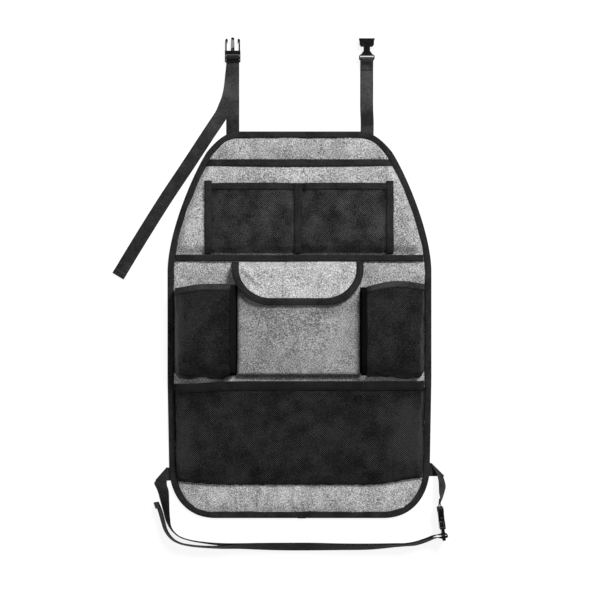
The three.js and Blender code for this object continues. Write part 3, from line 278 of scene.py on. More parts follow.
# %% [markdown]
# ## Settling cloth
# Sewn cloth is never quite flat: it is a little longer than the space between its seams, and buckles softly.
# Blender's cloth simulation gives those buckles. The seams are pinned, the cloth is told that it is about a
# hundredth too large and gets a light pressure, and after twenty frames it is read back. Each point rises by a
# capped amount, and sinks only where a pocket has room below it, so no cloth reaches into what it lies on.

# %% Cloth simulation
SIM_FRAMES = 20
RIPPLES, RIPPLE_HEIGHT = 7, 0.12
STIFFNESS, BENDING, CLOTH_MASS, DAMPING = 8.0, 0.4, 0.25, 4.0


def settle(grid, pins, growth, pressure, cap, seed, sink=0.0):
    """The grid after a short cloth simulation, with pins as a mask of held points."""
    rows, cols = grid.shape[:2]
    rng = np.random.default_rng(seed)
    start = grid.copy()
    ripple = np.zeros((rows, cols))
    yy, xx = np.mgrid[0:rows, 0:cols]
    for _ in range(RIPPLES):
        kx, ky, ph = rng.uniform(-0.22, 0.22), rng.uniform(-0.16, 0.16), rng.uniform(0, 6.3)
        ripple += np.sin(xx * kx + yy * ky + ph)
    start += normals(grid) * (ripple * RIPPLE_HEIGHT * ~pins)[:, :, None]
    idx, quads = grid_faces(rows, cols)
    obj = new_object("settling", start.reshape(-1, 3), quads)
    group = obj.vertex_groups.new(name="seams")
    group.add([int(i) for i in idx[pins]], 1.0, "REPLACE")
    cloth = obj.modifiers.new("settle", "CLOTH")
    cs = cloth.settings
    cs.vertex_group_mass = "seams"
    cs.quality, cs.mass, cs.air_damping = 6, CLOTH_MASS, DAMPING
    cs.tension_stiffness = cs.compression_stiffness = cs.shear_stiffness = STIFFNESS
    cs.bending_stiffness = BENDING
    cs.use_pressure, cs.uniform_pressure_force = True, pressure
    cs.shrink_min = cs.shrink_max = -growth
    cs.effector_weights.gravity = 0.0
    cloth.collision_settings.use_collision = False
    scene = bpy.context.scene
    cloth.point_cache.frame_start, cloth.point_cache.frame_end = 1, SIM_FRAMES
    for f in range(1, SIM_FRAMES + 1):
        scene.frame_set(f)
    ev = obj.evaluated_get(bpy.context.evaluated_depsgraph_get())
    flat = np.zeros(rows * cols * 3)
    ev.data.vertices.foreach_get("co", flat)
    scene.frame_set(1)
    bpy.data.objects.remove(obj)
    moved = flat.reshape(rows, cols, 3) / MM - grid
    n = normals(grid)
    rise = (moved * n).sum(2)
    for _ in range(2):
        around = rise[:-2, 1:-1] + rise[2:, 1:-1] + rise[1:-1, :-2] + rise[1:-1, 2:]
        rise[1:-1, 1:-1] = (rise[1:-1, 1:-1] * 2 + around) / 6
    rise = np.where(pins, 0, np.clip(rise, -sink, None))
    rise = cap * np.tanh(rise / cap)
    print("  settled", rows, "x", cols, "rise up to", round(float(rise.max()), 2), "mm")
    return grid + n * rise[:, :, None]


def edge_pins(grid, top=0, bottom=1, sides=2):
    pins = np.zeros(grid.shape[:2], bool)
    if top:
        pins[:top] = True
    if bottom:
        pins[-bottom:] = True
    if sides:
        pins[:, :sides] = pins[:, -sides:] = True
    return pins


def folded(grid, folds):
    """Soft folds pressed into a cloth: each is a ridge with a valley on one side, along a line in plan."""
    x, y = grid[:, :, 0], grid[:, :, 1]
    rise = np.zeros_like(x)
    for (x0, y0), (x1, y1), height, width in folds:
        span = math.hypot(x1 - x0, y1 - y0)
        far = ((x - x0) * (x1 - x0) + (y - y0) * (y1 - y0)) / span
        off = ((x - x0) * (y1 - y0) - (y - y0) * (x1 - x0)) / span
        share = smoothstep(far, -0.1 * span, 0.25 * span) * (1 - smoothstep(far, 0.75 * span, 1.1 * span))
        valley = 0.45 * np.exp(-((off - 2 * width) / width) ** 2)
        rise += share * height * (np.exp(-(off / width) ** 2) - valley)
    return raised(grid, rise)


# %% [markdown]
# ## Materials
# Nothing on the organizer has one flat colour. The melange is spun from light and dark fibres, so two sets of
# streaks cross at right angles and a slow patchiness lies over them. Tapes and webbing are dark and ribbed. Object
# coordinates are used where a pattern only has to be the right size, and the weave map where it must follow.

# %% Node helpers
def material(name, roughness, grey, sheen=0.0, specular=0.5):
    mat = bpy.data.materials.new(name)
    mat.use_nodes = True
    tree = mat.node_tree
    shader = tree.nodes["Principled BSDF"]
    shader.inputs["Base Color"].default_value = (grey, grey, grey, 1)
    shader.inputs["Roughness"].default_value = roughness
    shader.inputs["Sheen Weight"].default_value = sheen
    shader.inputs["Sheen Roughness"].default_value = 0.5
    shader.inputs["Specular IOR Level"].default_value = specular
    return mat, tree, shader


def node(tree, kind, inputs=None, **settings):
    """A new node with its settings, and its inputs as values or as sockets to link from."""
    made = tree.nodes.new(kind)
    for key, value in settings.items():
        setattr(made, key, value)
    for key, value in (inputs or {}).items():
        if hasattr(value, "links"):
            tree.links.new(value, made.inputs[key])
        else:
            made.inputs[key].default_value = value
    return made


def math_node(tree, operation, a, b):
    return node(tree, "ShaderNodeMath", operation=operation, inputs={0: a, 1: b}).outputs[0]


def blended(tree, *parts):
    """The sum of several values, each times its share."""
    scaled = [math_node(tree, "MULTIPLY", value, share) for value, share in parts]
    total = scaled[0]
    for value in scaled[1:]:
        total = math_node(tree, "ADD", total, value)
    return total


def streaks(tree, coordinates, scale, detail=2.0):
    mapping = node(tree, "ShaderNodeMapping", inputs={"Vector": coordinates, "Scale": scale})
    return node(tree, "ShaderNodeTexNoise", inputs={
        "Vector": mapping.outputs[0], "Scale": 1.0, "Detail": detail, "Roughness": 0.6}).outputs[0]


def even_noise(tree, coordinates, scale, detail=2.0):
    return streaks(tree, coordinates, (scale, scale, scale), detail)


def ramp(tree, value, stops):
    made = node(tree, "ShaderNodeValToRGB", inputs={"Fac": value})
    elements = made.color_ramp.elements
    while len(elements) < len(stops):
        elements.new(0.5)
    for element, (place, grey) in zip(elements, stops):
        element.position = place
        element.color = (grey, grey, grey, 1)
    return made.outputs[0]


def bump(tree, shader, height, distance, strength):
    made = node(tree, "ShaderNodeBump", inputs={"Height": height, "Distance": distance, "Strength": strength})
    tree.links.new(made.outputs[0], shader.inputs["Normal"])


def object_coordinates(tree):
    return node(tree, "ShaderNodeTexCoord").outputs["Object"]


def weave_coordinates(tree):
    return node(tree, "ShaderNodeUVMap", uv_map="weave").outputs[0]


# %% Lighter and darker ovals, for painted highlights and painted shade
def soft_spot(tree, where, spot):
    """A value that is an amount at the middle of an oval and fades to nothing at its rim."""
    x, y, wide, tall, amount = spot
    moved = node(tree, "ShaderNodeMapping", inputs={
        "Vector": where, "Location": (-x / wide, -y / tall, 0), "Scale": (1 / wide, 1 / tall, 0)})
    away = node(tree, "ShaderNodeVectorMath", operation="LENGTH", inputs={0: moved.outputs[0]})
    return node(tree, "ShaderNodeMapRange", interpolation_type="SMOOTHSTEP", inputs={
        "Value": away.outputs["Value"], "To Min": amount, "To Max": 0.0}).outputs[0]


def spotted(tree, value, where, painted_light_spots):
    """The value with ovals added, each given as x, y, width and height in metres and an amount."""
    for spot in painted_light_spots:
        value = math_node(tree, "ADD", value, soft_spot(tree, where, spot))
    return value


# %% Melange cloth
PATCH_SHARE, CLOUD_SHARE = 0.12, 0.07


def melange(name, dark, middle, light, painted_light_spots=()):
    mat, tree, shader = material(name, 0.9, middle, sheen=0.08, specular=0.15)
    where = object_coordinates(tree)
    lying = streaks(tree, where, (420, 1350, 700), 1.5)
    standing = streaks(tree, where, (1350, 420, 700), 1.5)
    speck = even_noise(tree, where, 2100, 1.0)
    cloud = streaks(tree, where, (95, 80, 80))
    patch = streaks(tree, where, (26, 22, 22))
    fibres = blended(tree, (lying, 0.46), (standing, 0.4), (speck, 0.14))
    tone_and_painted_light = blended(tree, (fibres, 1.0), (patch, PATCH_SHARE), (cloud, CLOUD_SHARE))
    tone_and_painted_light = math_node(tree, "SUBTRACT", tone_and_painted_light, (PATCH_SHARE + CLOUD_SHARE) / 2)
    # The ovals added here are painted light: lighter ones stand for highlights, darker ones for shade.
    tone_and_painted_light = spotted(tree, tone_and_painted_light, where, painted_light_spots)
    colour = ramp(tree, tone_and_painted_light, [(0.425, dark), (0.5, middle), (0.575, light)])
    tree.links.new(colour, shader.inputs["Base Color"])
    bump(tree, shader, fibres, 0.0002, 0.35)
    return mat


# The ovals on the main and document melange are painted light: the lighter patches and bands are painted
# highlights, and the darker band along the top and the darker right end of the document pocket are painted shade.
MELANGE = melange("melange cloth", 0.11, 0.35, 0.76, [
    (-0.15, 0.08, 0.09, 0.05, 0.004), (0, 0.275, 0.25, 0.06, -0.012), (0.09, 0.268, 0.045, 0.028, 0.026),
    (0, -0.265, 0.25, 0.05, 0.01)])
MELANGE_DOCUMENT = melange("melange document cloth", 0.10, 0.34, 0.76, [
    (0, 0.236, 0.26, 0.035, 0.014), (0.17, 0.16, 0.05, 0.1, -0.006)])
# The flap's copy of the melange is painted lighter, as painted light, and its oval is a painted highlight beside
# the crease at the left.
MELANGE_FLAP_LIT = melange("lit melange flap cloth", 0.15, 0.42, 0.84, [(-0.06, 0.07, 0.03, 0.03, 0.01)])
# The centre pocket's copy of the melange is painted darker, as painted shade, and its two ovals are painted shadows
# under the flap's lower corners.
MELANGE_POCKET_SHADED = melange("shaded melange pocket cloth", 0.09, 0.245, 0.54, [
    (-0.06, 0.022, 0.042, 0.022, -0.04), (0.04, 0.02, 0.042, 0.018, -0.03)])
print("melange cloths: 4")

# %% Dark cloths, tapes and webbing
DARK_STOPS = (0.38, 0.62)


def dark_colour(tree, shader, value, low, high):
    stops = list(zip(DARK_STOPS, (low, high)))
    tree.links.new(ramp(tree, value, stops), shader.inputs["Base Color"])


def plain_dark(name, low, high, scale, roughness=0.9, patchy=0.4, painted_light_spots=()):
    mat, tree, shader = material(name, roughness, high, specular=0.12)
    where = object_coordinates(tree)
    fine, slow = even_noise(tree, where, scale), even_noise(tree, where, 34)
    both = spotted(tree, blended(tree, (fine, 1 - patchy), (slow, patchy)), where, painted_light_spots)
    dark_colour(tree, shader, both, low, high)
    bump(tree, shader, fine, 0.0002, 0.4)
    return mat


def ribbed(name, low, high, ribs, twill=0.0, roughness=0.8, shaded=None, painted_light_spots=()):
    """Ribs across a tape or webbing, in the coordinates that follow it; a shaded one is darker towards its foot."""
    mat, tree, shader = material(name, roughness, high, specular=0.15)
    where = object_coordinates(tree)
    turned = node(tree, "ShaderNodeMapping", inputs={"Vector": weave_coordinates(tree), "Rotation": (0, 0, twill)})
    wave = node(tree, "ShaderNodeTexWave", bands_direction="Y", inputs={
        "Vector": turned.outputs[0], "Scale": ribs, "Distortion": 0.6, "Detail": 1.0, "Detail Scale": 2.0})
    fibre, slow = even_noise(tree, where, 400, 3.0), even_noise(tree, where, 42)
    value = blended(tree, (wave.outputs["Fac"], 0.25), (fibre, 0.4), (slow, 0.35))
    if shaded:
        height = node(tree, "ShaderNodeSeparateXYZ", inputs={0: where}).outputs[1]
        share = node(tree, "ShaderNodeMapRange", inputs={
            "Value": height, "From Min": 0.26, "From Max": 0.38, "To Min": shaded, "To Max": 1.0}).outputs[0]
        value = math_node(tree, "MULTIPLY", value, share)
    dark_colour(tree, shader, spotted(tree, value, where, painted_light_spots), low, high)
    bump(tree, shader, wave.outputs["Fac"], 0.0002, 0.4)
    return mat


BLACK_CLOTH = plain_dark("black backing cloth", 0.004, 0.012, 900)
LINING_CLOTH = plain_dark("dark lining cloth", 0.016, 0.04, 700)
PATCH_PILE = plain_dark("hook-and-loop pile", 0.01, 0.03, 1600)
# The net threads' slow patches are partly uneven tone and partly painted sheen. The second thread, for the lower
# net and the bottle nets, is a darker copy as painted shade, and its ovals are painted sheen.
NET_THREAD = plain_dark("net thread", 0.036, 0.22, 460, 0.7, 0.5)
NET_THREAD_SHADED = plain_dark("shaded net thread", 0.016, 0.12, 460, 0.7, 0.45, [
    (0.165, -0.17, 0.04, 0.07, 0.3), (-0.178, -0.18, 0.025, 0.07, 0.18), (-0.185, 0, 0.014, 0.08, 0.3)])
TAPE_WEAVE = ribbed("ribbed tape", 0.001, 0.034, 330)
TAPE_BLACK = ribbed("black ribbed tape", 0.001, 0.017, 330)
ELASTIC = ribbed("elastic tape", 0.006, 0.06, 210)
GUSSET_CLOTH = plain_dark("gusset cloth", 0.003, 0.006, 800)
# The webbing is painted darker below the straight runs of the top straps, as painted shade. Its ovals are painted
# light: painted shade where the left strap wraps the top plug's bar and along the top straps near their buckles,
# and painted highlights on their bends.
WEBBING = ribbed("twilled webbing", 0.01, 0.085, 300, 0.6, 0.7, 0.78, [
    (-0.102, 0.408, 0.04, 0.008, -0.3), (-0.107, 0.384, 0.03, 0.02, -0.12), (-0.112, 0.355, 0.03, 0.022, 0.09),
    (0.103, 0.398, 0.03, 0.01, -0.12), (0.103, 0.36, 0.03, 0.03, 0.02), (0.103, 0.315, 0.03, 0.02, -0.14)])
THREAD = plain_dark("sewing thread", 0.02, 0.045, 900, 0.7)

# %% Moulded plastic
def moulded(name):
    mat, tree, shader = material(name, 0.26, 0.008, specular=0.4)
    where = object_coordinates(tree)
    grain, slow = even_noise(tree, where, 2600, 1.0), even_noise(tree, where, 220)
    rough = node(tree, "ShaderNodeMapRange", inputs={"Value": slow, "To Min": 0.2, "To Max": 0.32})
    tree.links.new(rough.outputs[0], shader.inputs["Roughness"])
    # The two ovals are painted highlights, on the top plug's arms and prong and on the lower buckle pair; only they
    # reach the ramp's light grey stop.
    tone_and_painted_glints = spotted(tree, slow, where, [
        (-0.102, 0.4285, 0.018, 0.014, 0.62), (0.2175, -0.318, 0.012, 0.03, 0.12)])
    colour = ramp(tree, tone_and_painted_glints, [(0.4, 0.003), (0.72, 0.009), (0.95, 0.24)])
    tree.links.new(colour, shader.inputs["Base Color"])
    bump(tree, shader, grain, 0.00005, 0.25)
    return mat


PLASTIC = moulded("moulded buckle plastic")


def dress(obj, mat, slot, *nodes):
    """Gives a finished piece its material and its place in the frame."""
    obj.data.materials.clear()
    obj.data.materials.append(mat)
    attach(obj, "root")
    if nodes:
        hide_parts(*nodes)
    print(f"{obj.name}: {len(obj.data.polygons)} faces")
    return obj


# %% [markdown]
# ## Stitches
# A row of stitches is one short rounded thread repeated along a seam. Geometry Nodes takes the seam as a line,
# puts a stitch at every pitch and turns it along the line, so the same tree serves every seam.

# %% Stitch tree
def input_id(tree, name):
    return next(i.identifier for i in tree.interface.items_tree if i.name == name and i.in_out == "INPUT")


def new_tree(name, inputs):
    tree = bpy.data.node_groups.new(name, "GeometryNodeTree")
    tree.interface.new_socket("Geometry", in_out="INPUT", socket_type="NodeSocketGeometry")
    tree.interface.new_socket("Geometry", in_out="OUTPUT", socket_type="NodeSocketGeometry")
    for label, kind, value in inputs:
        socket = tree.interface.new_socket(label, in_out="INPUT", socket_type=kind)
        if value is not None:
            socket.default_value = value
    return tree, tree.nodes.new("NodeGroupInput"), tree.nodes.new("NodeGroupOutput")


def wire(tree, *links):
    """Links, each given as node, output, node, input."""
    for source, output, target, socket in links:
        tree.links.new(source.outputs[output], target.inputs[socket])


def stitch_tree():
    tree, start, end = new_tree("stitches along a seam", [
        ("Pitch", "NodeSocketFloat", 0.0034), ("Stitch length", "NodeSocketFloat", 0.0025),
        ("Thread", "NodeSocketFloat", 0.0005), ("Finish", "NodeSocketMaterial", None)])
    line = node(tree, "GeometryNodeMeshToCurve")
    even = node(tree, "GeometryNodeResampleCurve", mode="LENGTH")
    ball = node(tree, "GeometryNodeMeshUVSphere", inputs={"Segments": 6, "Rings": 4, "Radius": 0.5})
    tangent = node(tree, "GeometryNodeInputTangent")
    turn = node(tree, "FunctionNodeAlignRotationToVector", axis="X")
    size = node(tree, "ShaderNodeCombineXYZ")
    place = node(tree, "GeometryNodeInstanceOnPoints")
    real = node(tree, "GeometryNodeRealizeInstances")
    smooth = node(tree, "GeometryNodeSetShadeSmooth")
    finish = node(tree, "GeometryNodeSetMaterial")
    wire(tree, (start, "Geometry", line, 0), (line, 0, even, "Curve"), (start, "Pitch", even, "Length"),
         (even, 0, place, "Points"), (ball, "Mesh", place, "Instance"),
         (tangent, 0, turn, "Vector"), (turn, 0, place, "Rotation"),
         (start, "Stitch length", size, 0), (start, "Thread", size, 1), (start, "Thread", size, 2),
         (size, 0, place, "Scale"), (place, 0, real, 0), (real, 0, smooth, 0), (smooth, 0, finish, 0),
         (start, "Finish", finish, "Material"), (finish, 0, end, 0))
    return tree


def lines_object(name, lines):
    """Separate polylines as one mesh of edges."""
    points = np.concatenate(lines)
    edges, at = [], 0
    for line in lines:
        edges += [(at + i, at + i + 1) for i in range(len(line) - 1)]
        at += len(line)
    mesh = bpy.data.meshes.new(name)
    mesh.from_pydata((points * MM).tolist(), edges, [])
    return linked(name, mesh)


def grown(name, lines, tree, values):
    """Runs a tree on lines and keeps its result as a plain mesh."""
    obj = lines_object(name, lines)
    grow = obj.modifiers.new("grow", "NODES")
    grow.node_group = tree
    for label, value in values.items():
        grow[input_id(tree, label)] = value
    ev = obj.evaluated_get(bpy.context.evaluated_depsgraph_get())
    mesh = bpy.data.meshes.new_from_object(ev)
    obj.modifiers.remove(grow)
    old = obj.data
    obj.data = mesh
    bpy.data.meshes.remove(old)
    mesh.name = name
    return obj


STITCHES = stitch_tree()


def stitched(name, lines, pitch=0.0034, length=0.0026, thread=0.00055):
    values = {"Pitch": pitch, "Stitch length": length, "Thread": thread, "Finish": THREAD}
    return dress(grown(name, lines, STITCHES, values), THREAD, "tape")


# %% [markdown]
# ## Netting
# The net is knitted from soft dark thread in a diamond pattern about two millimetres wide. Threads run both ways
# across a pocket's grid, and a second tree gives each one a slim flat section. Real openings let the black cloth
# behind show through, from every side.

# %% Net tree and threads
THREAD_WIDTH, THREAD_HEIGHT, THREAD_LIFT = 0.00093, 0.0005, 0.4


def net_tree():
    tree, start, end = new_tree("net threads", [
        ("Width", "NodeSocketFloat", 0.0009), ("Height", "NodeSocketFloat", 0.0004),
        ("Finish", "NodeSocketMaterial", None)])
    line = node(tree, "GeometryNodeMeshToCurve")
    upright = node(tree, "GeometryNodeSetCurveNormal", mode="Z_UP")
    section = node(tree, "GeometryNodeCurvePrimitiveCircle", inputs={"Resolution": 3, "Radius": 0.5})
    flat = node(tree, "ShaderNodeCombineXYZ", inputs={2: 1.0})
    shaped = node(tree, "GeometryNodeTransform")
    skin = node(tree, "GeometryNodeCurveToMesh", inputs={"Fill Caps": True})
    real = node(tree, "GeometryNodeRealizeInstances")
    finish = node(tree, "GeometryNodeSetMaterial")
    wire(tree, (start, "Geometry", line, 0), (line, 0, upright, 0), (upright, 0, skin, "Curve"),
         (start, "Height", flat, 0), (start, "Width", flat, 1),
         (section, 0, shaped, "Geometry"), (flat, 0, shaped, "Scale"), (shaped, 0, skin, "Profile Curve"),
         (skin, 0, real, 0), (real, 0, finish, 0), (start, "Finish", finish, "Material"), (finish, 0, end, 0))
    return tree


NET = net_tree()


def surface_point(grid, rows, cols, u, v):
    """Points of a grid at distances u across it and v down it."""
    c = np.interp(u, cols, np.arange(len(cols)))
    r = np.interp(v, rows, np.arange(len(rows)))
    r0, c0 = np.clip(r.astype(int), 0, grid.shape[0] - 2), np.clip(c.astype(int), 0, grid.shape[1] - 2)
    fr, fc = (r - r0)[:, None], (c - c0)[:, None]
    return (grid[r0, c0] * (1 - fr) * (1 - fc) + grid[r0 + 1, c0] * fr * (1 - fc)
            + grid[r0, c0 + 1] * (1 - fr) * fc + grid[r0 + 1, c0 + 1] * fr * fc)


def net_threads(grid, edge):
    """Diagonal threads both ways over a grid, meeting every given length."""
    rows, cols = along(grid, 0), along(grid, 1)
    wide, tall = cols[-1], rows[-1]
    step = edge / math.sqrt(2)
    lines = []
    for way in (1, -1):
        for k in range(int(-tall / (2 * step)) - 1, int(wide / (2 * step)) + 2):
            first = 2 * k * step
            v = np.arange(0, tall + step * 0.5, step)
            u = first + v if way > 0 else (wide - first) - v
            inside = (u >= 0) & (u <= wide)
            if inside.sum() < 2:
                continue
            lines.append(surface_point(grid, rows, cols, u[inside], v[inside]))
    return lines


def netting(name, grid, edge, cad, thread=NET_THREAD_SHADED):
    lines = net_threads(grid + normals(grid) * THREAD_LIFT, edge)
    obj = grown(name, lines, NET, {"Width": THREAD_WIDTH, "Height": THREAD_HEIGHT, "Finish": thread})
    obj.data.calc_loop_triangles()
    print(f"{name}: {len(lines)} threads, {len(obj.data.loop_triangles)} triangles")
    return dress(obj, thread, "net", cad)


# %% [markdown]
# ## Tapes folded over an edge
# A binding tape is folded over the mouth of a pocket and sewn through. Its two legs follow the cloth, so it is
# built from the settled cloth itself: points down each column, moved out to both sides by half the thickness.

# %% Folded tape
TAPE_EASE = 0.1
SEAM_LIFT = CLOTH + 0.95


def fold_profile(width, inner, outer, legs=4):
    """A tape's section over an edge: how far down each leg, and how far out from the cloth's middle."""
    down = np.linspace(width, 0, legs)
    ring = [(d, outer) for d in down]
    ring += [(-outer * math.sin(a) * 0.75, outer * math.cos(a)) for a in np.radians([30, 60, 90, 120, 150])]
    ring += [(d, -outer) for d in down[::-1]]
    ring += [(d, -inner) for d in down]
    ring += [(d, inner) for d in down[::-1]]
    return ring


def down_path(grid, col, distance):
    """The point and normal at a distance down a column; negative distances run on past the edge."""
    line = grid[:, col]
    length = travelled(line)
    if distance <= 0:
        d = line[1] - line[0]
        return line[0] + d / np.linalg.norm(d) * distance
    return np.array([np.interp(distance, length, line[:, i]) for i in range(3)])


def folded_tape(name, grid, width, first, last, mat, cad):
    """A tape folded over the first row of a cloth, from one column to another."""
    n = normals(grid)
    ring = fold_profile(width, CLOTH / 2 + TAPE_EASE, CLOTH / 2 + TAPE_EASE + TAPE)
    rings, uvs = [], []
    travel = 0.0
    for c in range(first, last + 1):
        normal = n[0, c] + n[1, c] + n[2, c]
        normal /= np.linalg.norm(normal)
        if c > first:
            travel += np.linalg.norm(grid[0, c] - grid[0, c - 1])
        rings.append(np.array([
            down_path(grid, c, d - TAPE_EASE) + normal * (CLOTH / 2 + h) for d, h in ring]))
        uvs += [(d if h > 0 else -d, travel) for d, h in ring]
    return dress(lofted(name, rings, uv=uvs), mat, "tape", cad)


def seam_line(grid, distance, first, last):
    """A line on a folded tape, at a distance below the mouth."""
    n = normals(grid)
    return np.array([down_path(grid, c, distance) + n[1, c] * SEAM_LIFT for c in range(first, last + 1)])


def rolled_hem(name, line, radius=1.1):
    """A dark rolled hem along the foot of a pocket, a little wavy."""
    tangent = np.gradient(line, axis=0)
    side = np.stack([-tangent[:, 1], tangent[:, 0], 0 * tangent[:, 0]], 1)
    side /= np.linalg.norm(side, axis=1, keepdims=True)
    turns = np.radians(np.arange(0, 360, 45))
    rings, uv = [], []
    for p, out, t in zip(line, side, travelled(line)):
        middle = p + out * 0.35 * math.sin(t / 2.7) + [0, 0, radius * 0.8]
        thick = radius * (1 + 0.18 * math.sin(t / 4.1 + 1))
        rings.append(np.array([
            middle + out * thick * math.cos(a) + [0, 0, thick * 0.8 * math.sin(a)] for a in turns]))
        uv += [(thick * a, t) for a in turns]
    return dress(lofted(name, rings, uv=uv), TAPE_WEAVE, "net")


# %% [markdown]
# ## The padded panel
# The panel is a thin foam pad between a dark lining and the melange front. Its front face swells a little between
# the seams that cross it. The swelling is simulated on the front face alone, and the face is then closed against
# a flat back, which makes one crowned pad.

# %% Panel
def panel_z(x, y):
    """Height of the panel's face, which thins towards the binding."""
    edge = np.minimum(half_width(y, 0) - np.abs(x), np.minimum(PANEL["top"] - y, y - PANEL["bottom"]))
    return MARGIN + (FIELD - MARGIN) * smoothstep(edge, 8, 15)


def panel_grid():
    ys = np.concatenate([PANEL["top"] - 6 - np.array([0, 1.5, 3.2, 5, 7, 9.5, 12.5, 16]),
                         np.linspace(PANEL["top"] - 27, PANEL["bottom"] + 30, 112),
                         PANEL["bottom"] + 6 + np.array([20, 15, 11, 8, 5.5, 3.5, 1.7, 0])])
    t = np.linspace(-1, 1, 121)
    t = np.sign(t) * (1 - (1 - np.abs(t)) ** 1.12)
    grid = np.zeros((len(ys), len(t), 3))
    for r, y in enumerate(ys):
        x = t * half_width(y, 6)
        grid[r] = np.stack([x, np.full_like(x, y), panel_z(x, np.full_like(x, y))], 1)
    return grid


def creases(grid, low, high, height, waves):
    """Soft ridges across a band of the panel that lies between two seams."""
    x, y = grid[:, :, 0], grid[:, :, 1]
    band = smoothstep(y, low, low + 14) * (1 - smoothstep(y, high - 14, high))
    band = band * smoothstep(grid[:, :, 2], 2.7, 3.0)
    total = sum(np.sin(x / a + y / b + c) for a, b, c in waves) / len(waves)
    return raised(grid, height * band * (0.5 + total))


front = panel_grid()
ys = front[:, 0, 1]
held = edge_pins(front, 4, 4, 4)
free = (ys > DOC_MOUTH - 6) | (ys < LOWER_END - 1) | ((ys < TAPE_LOW - 1) & (ys > BOTTLE_MOUTH + 3))
held[~free] = True
front_face = settle(front, held, 0.006, 3.0, 1.2, seed=2)
for low, high, height, waves in (
        (PANEL["bottom"] + 8, LOWER_END, 1.3, ((4.2, 60, 0), (6.9, -35, 1), (2.9, 80, 2), (11, 40, 3))),
        (DOC_MOUTH - 6, PANEL["top"] - 8, 0.9, ((13, 9, 0), (21, -14, 2), (8, 30, 1))),
        (BOTTLE_MOUTH + 3, TAPE_LOW, 0.8, ((9, 12, 0), (15, -18, 1)))):
    front_face = creases(front_face, low, high, height, waves)
front_face = folded(front_face, [
    ((-3.8, -246), (-8.4, -281), 2.9, 4.2), ((-25, -246), (-45, -279), 2.6, 5),
    ((-58, -250), (-64, -278), 1.8, 5), ((48, -248), (40, -277), 1.3, 5),
    ((39, 284), (39, 254), 1.6, 4.2), ((70, 258), (96, 282), 2.3, 5), ((-30, 256), (-12, 280), 1.5, 5)])
thinned = 1 - smoothstep(front[:, :, 2], 2.0, 2.9)
back_face = front.copy()
back_low = LINING + 0.05
back_face[:, :, 2] = back_low + (MARGIN - 0.6 - back_low) * thinned
panel = closed_sheet("padded_panel", back_face, front_face)
dress(panel, MELANGE, "melange", "front_cloth", "foam_pad")

# %% Lining
lining_low = front.copy()
lining_low[:, :, 2] = 0.8 * thinned
lining = closed_sheet("lining", lining_low, lining_low + [0, 0, 0.58])
dress(lining, LINING_CLOTH, "lining", "back_cloth")

# %% [markdown]
# ## The edge binding
# One tape is folded round the whole edge and sewn through, with its ends lapped at the middle of the lower edge.
# Its section is lofted round the outline; small slow waves keep it from looking machined.

# %% Binding
def binding():
    profile = [(0.6, 0.25), (0.12, 0.9), (0, 1.8), (0.12, 2.7), (0.6, 3.35), (1.5, 3.6), (4, 3.68), (7.5, 3.62),
               (BIND, 3.5), (BIND, 2.75), (1.8, 2.75), (1.8, 0.85), (BIND, 0.85), (BIND, 0.02), (1.5, 0.0)]
    length = travelled(RING)
    wave = 0.35 * np.sin(length / 19.0) + 0.3 * np.sin(length / 7.3 + 1)
    rings, uv = [], []
    insets = [inset_ring(i) for i, _ in profile]
    inward = inset_ring(1.0) - RING
    for k in range(len(RING)):
        ring = []
        for (inset, z), points in zip(profile, insets):
            shift = inward[k] * (wave[k] if inset >= BIND - 0.01 else 0)
            ring.append([points[k][0] + shift[0], points[k][1] + shift[1], z])
            uv.append((inset if z > 1.8 else -inset, length[k]))
        rings.append(np.array(ring))
    return lofted("edge_tape", rings, ends=False, uv=uv)


dress(binding(), TAPE_WEAVE, "tape", "edge_binding")

# %% Lap of the binding's ends
def lap():
    xs = np.linspace(-2.5, 9.5, 9)
    profile = [(-0.35, 0.2), (-0.5, 1.8), (-0.35, 3.5), (0.8, 4.15), (5, 4.25), (BIND - 0.2, 4.15),
               (BIND + 0.1, 3.8), (BIND + 0.1, 3.55), (2, 3.72), (0.15, 3.0), (0.1, 0.6)]
    rings = [np.array([[x, PANEL["bottom"] + i, z] for i, z in profile]) for x in xs]
    uv = [(i, x) for x in xs for i, _ in profile]
    return lofted("edge_tape_lap", rings, uv=uv)


dress(lap(), TAPE_WEAVE, "tape")
inner_line = inset_ring(BIND - 1.6)
inner_line = np.concatenate([inner_line, inner_line[:1]])
stitched("edge_stitches", [np.column_stack([inner_line, np.full(len(inner_line), 3.68)])])

# %% [markdown]
# ## The document pocket
# A full-width cloth is caught in the binding at both sides and under the middle tape. It is slack, so papers
# slide in behind it. The simulation pins its sides and foot and leaves its mouth free; the mouth tape is then
# folded over the settled edge.

# %% Document pocket
def document_control():
    mouth = DOC_MOUTH - TAPE
    ys = [mouth, mouth - 12.5] + [mouth + (DOC_TOE - mouth) * t for t in (0.3, 0.42, 0.56, 0.7, 0.85)]
    ys += [DOC_TOE, DOC_FOOT, TAPE_LOW + GAP]
    rows = []
    for y in ys:
        down = 0 if y <= DOC_FOOT else 1
        lift = FIELD + DOC_SLACK * down
        near = FIELD + GAP + (DOC_SLACK - GAP) * 0.25 * down - GAP * (1 - down)
        edge = [(2.0, MARGIN), (10.8, MARGIN), (12.4, near), (19.8, lift)]
        left = [(-half_width(y, i), y, z) for i, z in edge]
        inner = half_width(y, 19.8)
        slack = 0.9 if y > UPPER_MOUTH + 2 else 0
        shares = (-0.75, -0.5, -0.25, 0, 0.25, 0.5, 0.75)
        middle = [(inner * t, y, lift + slack * math.sin(t * 11)) for t in shares]
        rows.append(left + middle + [(-x, yy, z) for x, yy, z in reversed(left)])
    return rows


